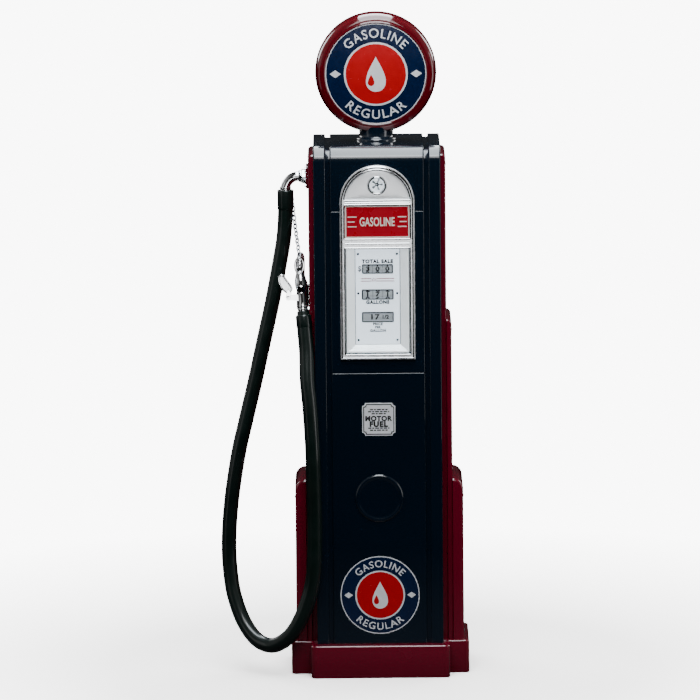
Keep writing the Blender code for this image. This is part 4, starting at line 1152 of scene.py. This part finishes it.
def outlet():
    """Flange, hex nut and the polished bend the hose hangs from."""
    lo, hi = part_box("outlet_flange")
    half = (hi.y - lo.y) / 2
    outline = rounded(-half, half, OUTLET_Z - half, OUTLET_Z + half, 0.01, 8)
    casting = loft([[(x, y, z) for y, z in outline] for x in (hi.x, lo.x)])
    soften(piece("outlet_flange_casting", casting, "maroon", "outlet_flange"), 0.0018)
    bolt = [(0.0, 0.005), (0.0046, 0.005), (0.0058, 0.0042), (0.006, 0.0), (0.0, 0.0)]
    bolts = [lathe(bolt, (lo.x + 0.0002, y, OUTLET_Z + z), LEFT, 6)
             for y in (-0.0285, 0.0285) for z in (-0.0285, 0.0285)]
    detail("outlet_bolts", join(*bolts), "chrome", "outlet_nut", 20)
    lo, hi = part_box("outlet_nut")
    wide, place = hi.x - lo.x, (hi.x, 0, OUTLET_Z)
    hexagon = [(0.016, wide), (0.024, wide), (0.0265, wide - 0.0016), (0.0265, 0.0016),
               (0.024, 0.0), (0.016, 0.0)]
    sleeve = [(0.0, 0.01), (0.0175, 0.01), (0.0195, 0.0085), (0.0205, 0.004), (0.0205, -0.002),
              (0.0, -0.002)]
    nut = join(lathe(hexagon, place, LEFT, 6, hoop=True),
               lathe([(r, wide + h) for r, h in sleeve], place, LEFT, 40))
    soften(piece("outlet_hex_nut", nut, "chrome", "outlet_nut", 25), 0.0007, 2, 25)
    bend = arc(HOSE_TOP.x + ELBOW_R, OUTLET_Z - ELBOW_R, ELBOW_R, 90, 180, 18)
    path = at_y([(-0.196, OUTLET_Z)] + bend, 0) + [HOSE_TOP]
    piece("outlet_bend", tube(path, 0.016, 40), "chrome", "outlet_elbow", 50)


def nozzle():
    """Plated valve body with a swell, a waist and an eye for the chain, and its spout."""
    profile = [(0.0, 0.137), (0.011, 0.137), (0.0128, 0.1355), (0.014, 0.131)]
    profile += [(0.014 + 0.0062 * sin(radians(10 * k)), 0.128 - 0.064 * k / 18)
                for k in range(19)]
    profile += [(0.0134, 0.058), (0.013, 0.048), (0.0134, 0.03), (0.015, 0.0185),
                (0.0172, 0.017), (0.0176, 0.013), (0.0168, 0.011), (0.0176, 0.009),
                (0.0176, 0.002), (0.0168, 0.0006), (0.0, 0.0006)]
    lug = arc(PIVOT.x, PIVOT.z, 0.0078, 90, 270, 12)
    lug += [(-0.264, PIVOT.z - 0.0105), (-0.264, PIVOT.z + 0.0105)]
    eye = [LOOP_AT + Vector((0.014 * c, 0, 0.027 * s)) for c, s in ring(1.0, 40)]
    valve = join(lathe(profile, NOZZLE_IN, ALONG, 48),
                 plate(lug, PIVOT.y - 0.0038, PIVOT.y + 0.0038), hoop_tube(eye, 0.0042, 14))
    piece("nozzle_valve", valve, "chrome", "nozzle_body", 40)
    start, top = SPOUT_AT, 1.432
    drop = Vector((BOOT_AT.x, BOOT_AT.y, low("nozzle_spout").z))
    mid = (start + drop) / 2
    path = [start, start + ALONG * 0.006, start + ALONG * 0.013,
            (start.x * 0.9 + drop.x * 0.1, start.y + 0.0105, top - 0.014), (mid.x, mid.y, top),
            (drop.x, drop.y - 0.0085, top - 0.016), (drop.x, drop.y, top - 0.042), drop]

    def girth(t):
        return 0.0118 - 0.0012 * t

    piece("nozzle_spout_tube", tube(spline(path, 10), girth, 32), "chrome", "nozzle_spout", 50)
    nut = [(0.0, 0.007), (0.0142, 0.007), (0.0155, 0.0055), (0.0155, -0.0055), (0.0142, -0.007),
           (0.0, -0.007)]
    detail("spout_nut", lathe(nut, start + ALONG * 0.006, ALONG, 6), "chrome", "nozzle_body", 20)


def lever():
    """Leaf-shaped squeeze lever on a fork and pin."""
    y = PIVOT.y
    spine = spline([(-0.293, y, 1.319), (-0.304, y, 1.327), (-0.314, y, 1.3395),
                    (-0.3215, y, 1.355), (-0.326, y, 1.371)], 6)
    last = len(spine) - 1
    sides = ([], [])
    for i, p in enumerate(spine):
        d = (spine[min(i + 1, last)] - spine[max(i - 1, 0)]).normalized()
        half = 0.0034 + 0.0106 * sin(pi * (i / last) ** 0.8) ** 0.6
        for side, sign in zip(sides, (1, -1)):
            side.append(p + Vector((d.z, 0, -d.x)) * half * sign)
    rim = sides[0] + sides[1][::-1]
    detail("lever_web", plate([(p.x, p.z) for p in rim], y - 0.0012, y + 0.0012), "satin",
           "nozzle_lever")
    boss = [(PIVOT.x + x, PIVOT.z + z) for x, z in ring(0.0082, 28)]
    arm = [(PIVOT.x + 0.0075, PIVOT.z + 0.003), (-0.2905, 1.3115), (-0.303, 1.3265),
           (PIVOT.x - 0.008, PIVOT.z + 0.001)]
    forks = [plate(outline, y0, y0 + 0.0044) for y0 in (y - 0.0088, y + 0.0044)
             for outline in (boss, arm)]
    pin = [(0.0, 0.0102), (0.003, 0.0102), (0.0036, 0.0094), (0.0036, -0.0094),
           (0.003, -0.0102), (0.0, -0.0102)]
    blade = join(hoop_tube(rim, 0.0036, 12), *forks, lathe(pin, PIVOT, FRONT, 24))
    soften(piece("lever_blade", blade, "chrome", "nozzle_lever", 45), 0.0008, 2)


def boot():
    """Cup and bracket that take the spout."""
    cup = [(0.0, 0.006), (0.0138, 0.006), (0.0138, 0.099), (0.0158, 0.1005), (0.0182, 0.1),
           (0.0192, 0.098), (0.0192, 0.092), (0.0182, 0.089), (0.0182, 0.012), (0.017, 0.004),
           (0.013, 0.0), (0.0, 0.0)]
    bracket = block((-0.2412, -0.088, 1.252), (-0.2324, -0.062, 1.328))
    shape = join(lathe(cup, BOOT_AT, UP, 48), bracket)
    soften(piece("spout_boot", shape, "boot", "nozzle_boot", 40), 0.0012, 2)


def spaced(path, count):
    """Points at count equal steps along a path."""
    far = [0.0]
    for a, b in zip(path, path[1:]):
        far.append(far[-1] + (b - a).length)
    points, k = [], 0
    for i in range(count + 1):
        goal = far[-1] * i / count
        while k < len(path) - 2 and far[k + 1] < goal:
            k += 1
        points.append(path[k].lerp(path[k + 1], (goal - far[k]) / (far[k + 1] - far[k])))
    return points


def chain():
    """Oval wire links, each turned a quarter from the last, and the clamp they hang from."""
    wire, wide, count = 0.0023, 0.0064, 17
    end = LOOP_AT + Vector((0, 0, 0.029))
    path = spline([(HOSE_TOP.x + 0.0125, 0.0215, CLAMP_Z), (-0.289, 0.029, 1.624),
                   (-0.286, 0.022, 1.598), (-0.28, -0.01, 1.545),
                   (-0.2735, -0.064, 1.499), (-0.267, -0.12, 1.462), end], 24)
    points = spaced(path, count)
    links = []
    for i, (a, b) in enumerate(zip(points, points[1:])):
        half = (b - a).length * 0.5 + wire
        d = (b - a).normalized()
        u, v = axes(d)
        across = (u + v).normalized() if i % 2 else (u - v).normalized()
        links.append(hoop_tube([(a + b) / 2 + d * half * c + across * wide * s
                                for c, s in ring(1.0, 20)], wire, 8))
    ob = bare("safety_chain", join(*links))
    finish(ob, "chain", "chain", sharp=60, rides=False)
    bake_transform(ob)
    clamp = [(0.0162, 0.004), (0.0185, 0.004), (0.019, 0.003), (0.019, -0.003),
             (0.0185, -0.004), (0.0162, -0.004)]
    detail("chain_clamp", lathe(clamp, (HOSE_TOP.x, 0, CLAMP_Z), UP, 40, hoop=True), "chrome",
           "outlet_elbow")


# ------------------------------------------------------------------ carried-over nodes
CAD_FINISH = {
    "steel": ("base_plate", "drive_shaft", "suction_pipe", "transfer_pipe", "delivery_pipe"),
    "cast": ("computer_frame", "motor_pulley", "pump_unit", "pump_pulley"),
    "porcelain": ("lamp_socket", "lamp_bulb"), "frame": ("frame",), "machine": ("motor",),
    # dial plate and dial mask take the materials with a painted glow
    "brass": ("meter",), "dial": ("dial_plate",), "mask": ("dial_mask",),
    "glass": ("dial_glass",), "belt": ("belt",),
}


def carried_over():
    """Materials and softened edges for the CAD nodes that stay in view."""
    for key, nodes in CAD_FINISH.items():
        for node in nodes:
            ob = NODES[node]
            ob.data.materials.clear()
            ob.data.materials.append(M[key])
            if key not in ("glass", "belt"):
                modify(ob, "WELD", merge_threshold=0.00002)
                soften(ob, 0.0008, 2, 30)


# ------------------------------------------------------------------ stage, lights, camera
BACKDROP = 9.0  # radiance of the white behind the object


def stage():
    """Endless pale floor that fades into the backdrop colour away from the object."""
    m = Mat("studio_floor")
    x, y = m.split()[:2]
    far = m.math("SQRT", m.math("ADD", m.math("POWER", x, 2.0), m.math("POWER", y, 2.0)))
    to_camera = m.node("LightPath").outputs["Is Camera Ray"]
    m.set(Base_Color=m.mix(to_camera, (0.05, 0.05, 0.052), (2.7, 2.7, 2.7)), Roughness=0.8,
          Specular_IOR_Level=0.0)
    glow = m.node("Emission", {"Color": (1.0, 1.0, 1.0),
                               "Strength": m.math("MULTIPLY", to_camera, BACKDROP)})
    m.blend(m.ramp(far, 0.9, 2.6), m.bsdf, glow)
    mesh = bpy.data.meshes.new("studio_floor")
    mesh.from_pydata(at_z(rule(-90.0, 90.0, -90.0, 90.0), 0), [], [(0, 1, 2, 3)])
    mesh.materials.append(m.mat)
    add("studio_floor", mesh)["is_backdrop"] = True


def world():
    """White to the camera; to everything else a dim room that is brighter at the sides."""
    made = bpy.data.worlds.new("studio")
    made.use_nodes = True
    n = Nodes(made.node_tree)
    sides = n.math("ABSOLUTE", n.split("Generated")[0])
    room = n.ramp(sides, 0.25, 0.95, 0.02, 0.35, interpolation_type="SMOOTHSTEP")
    to_camera = n.node("LightPath").outputs["Is Camera Ray"]
    pick = n.node("Mix", {0: to_camera, 2: room, 3: BACKDROP})
    n.feed(n.tree.nodes["Background"], "Color", (1.0, 1.0, 1.0))
    n.feed(n.tree.nodes["Background"], "Strength", pick.outputs[0])
    bpy.context.scene.world = made


def area(name, place, aim, size, strength, colour=(1, 1, 1), only=()):
    """A softbox of the given radiance; only limits it to those pieces."""
    light = adjust(bpy.data.lights.new(name, "AREA"), shape="RECTANGLE", size=size[0],
                   size_y=size[1], energy=strength * size[0] * size[1] * pi, color=colour)
    ob = add(name, light)
    ob.location = place
    ob.rotation_euler = (Vector(aim) - Vector(place)).to_track_quat("-Z", "Y").to_euler()
    if only:
        group = bpy.data.collections.new(name + "_receivers")
        for lit in only:
            group.objects.link(lit)
        ob.light_linking.receiver_collection = group
    return ob


def lights():
    """Softboxes above, in front, beside and behind, and a card that only the plating sees."""
    above = (0, -0.7, 0.0)
    soft = area("softbox_top", (0.0, -0.7, 4.3), above, (2.8, 7.0), 4.5)
    soft.visible_glossy = False
    sheen = area("softbox_top_sheen", (0.0, -0.7, 4.2), above, (1.5, 7.0), 14.0,
                 (0.88, 0.95, 1.0))
    sheen.visible_diffuse = False
    area("softbox_front", (0.0, -5.2, 4.6), (0, 0, 1.2), (3.0, 2.0), 6.0)
    area("softbox_left", (-4.5, -2.5, 1.6), (0, 0, 1.1), (1.2, 3.0), 0.7)
    area("softbox_right", (4.2, -2.0, 1.6), (0, 0, 1.1), (1.2, 3.0), 3.0)
    area("softbox_back_left", (-4.4, 4.2, 3.6), (0, 0, 0.9), (2.6, 2.6), 5.0)
    area("softbox_back_right", (4.4, 4.2, 3.6), (0, 0, 0.9), (2.6, 2.6), 5.0)
    plated = [M[key] for key in ("chrome", "satin", "plating", "silver", "mask")]
    dark = ("outlet_hex_nut", "outlet_bolts", "bezel_mouldings")
    bright = [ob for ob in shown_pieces()
              if ob.data.materials and ob.data.materials[0] in plated and ob.name not in dark]
    area("card_front", (0.0, -7.0, -0.6), (0, 0, 1.4), (5.0, 2.6), 7.0, only=bright)


def camera():
    """The photograph's view: far off, a little above, with a hair of roll."""
    distance, elevation, metres_per_px = 24.0, radians(9.0), 0.0034
    sensor, frame_px, roll = 36.0, 700.0, radians(-0.5)
    target = Vector((-0.095, 0.0, 1.09))
    lens = distance / metres_per_px * sensor / frame_px
    data = adjust(bpy.data.cameras.new("camera"), lens=lens, sensor_width=sensor, clip_end=400.0)
    back = Vector((0.0, -cos(elevation), sin(elevation)))
    turn = Matrix.Rotation(roll, 3, "Z").to_quaternion()
    bpy.context.scene.camera = adjust(
        add("camera", data), location=target + back * distance, rotation_mode="QUATERNION",
        rotation_quaternion=(-back).to_track_quat("-Z", "Y") @ turn)


for build in (plinth, side_casings, corner_shells, hood, doors, louvres, door_fittings, bezel,
              lunette, sight_glass, ad_panel, dial, wheels, label, globe, collar, door_emblem,
              outlet, hose, ferrule, boot, nozzle, lever, chain, carried_over, stage, world,
              lights, camera):
    build()
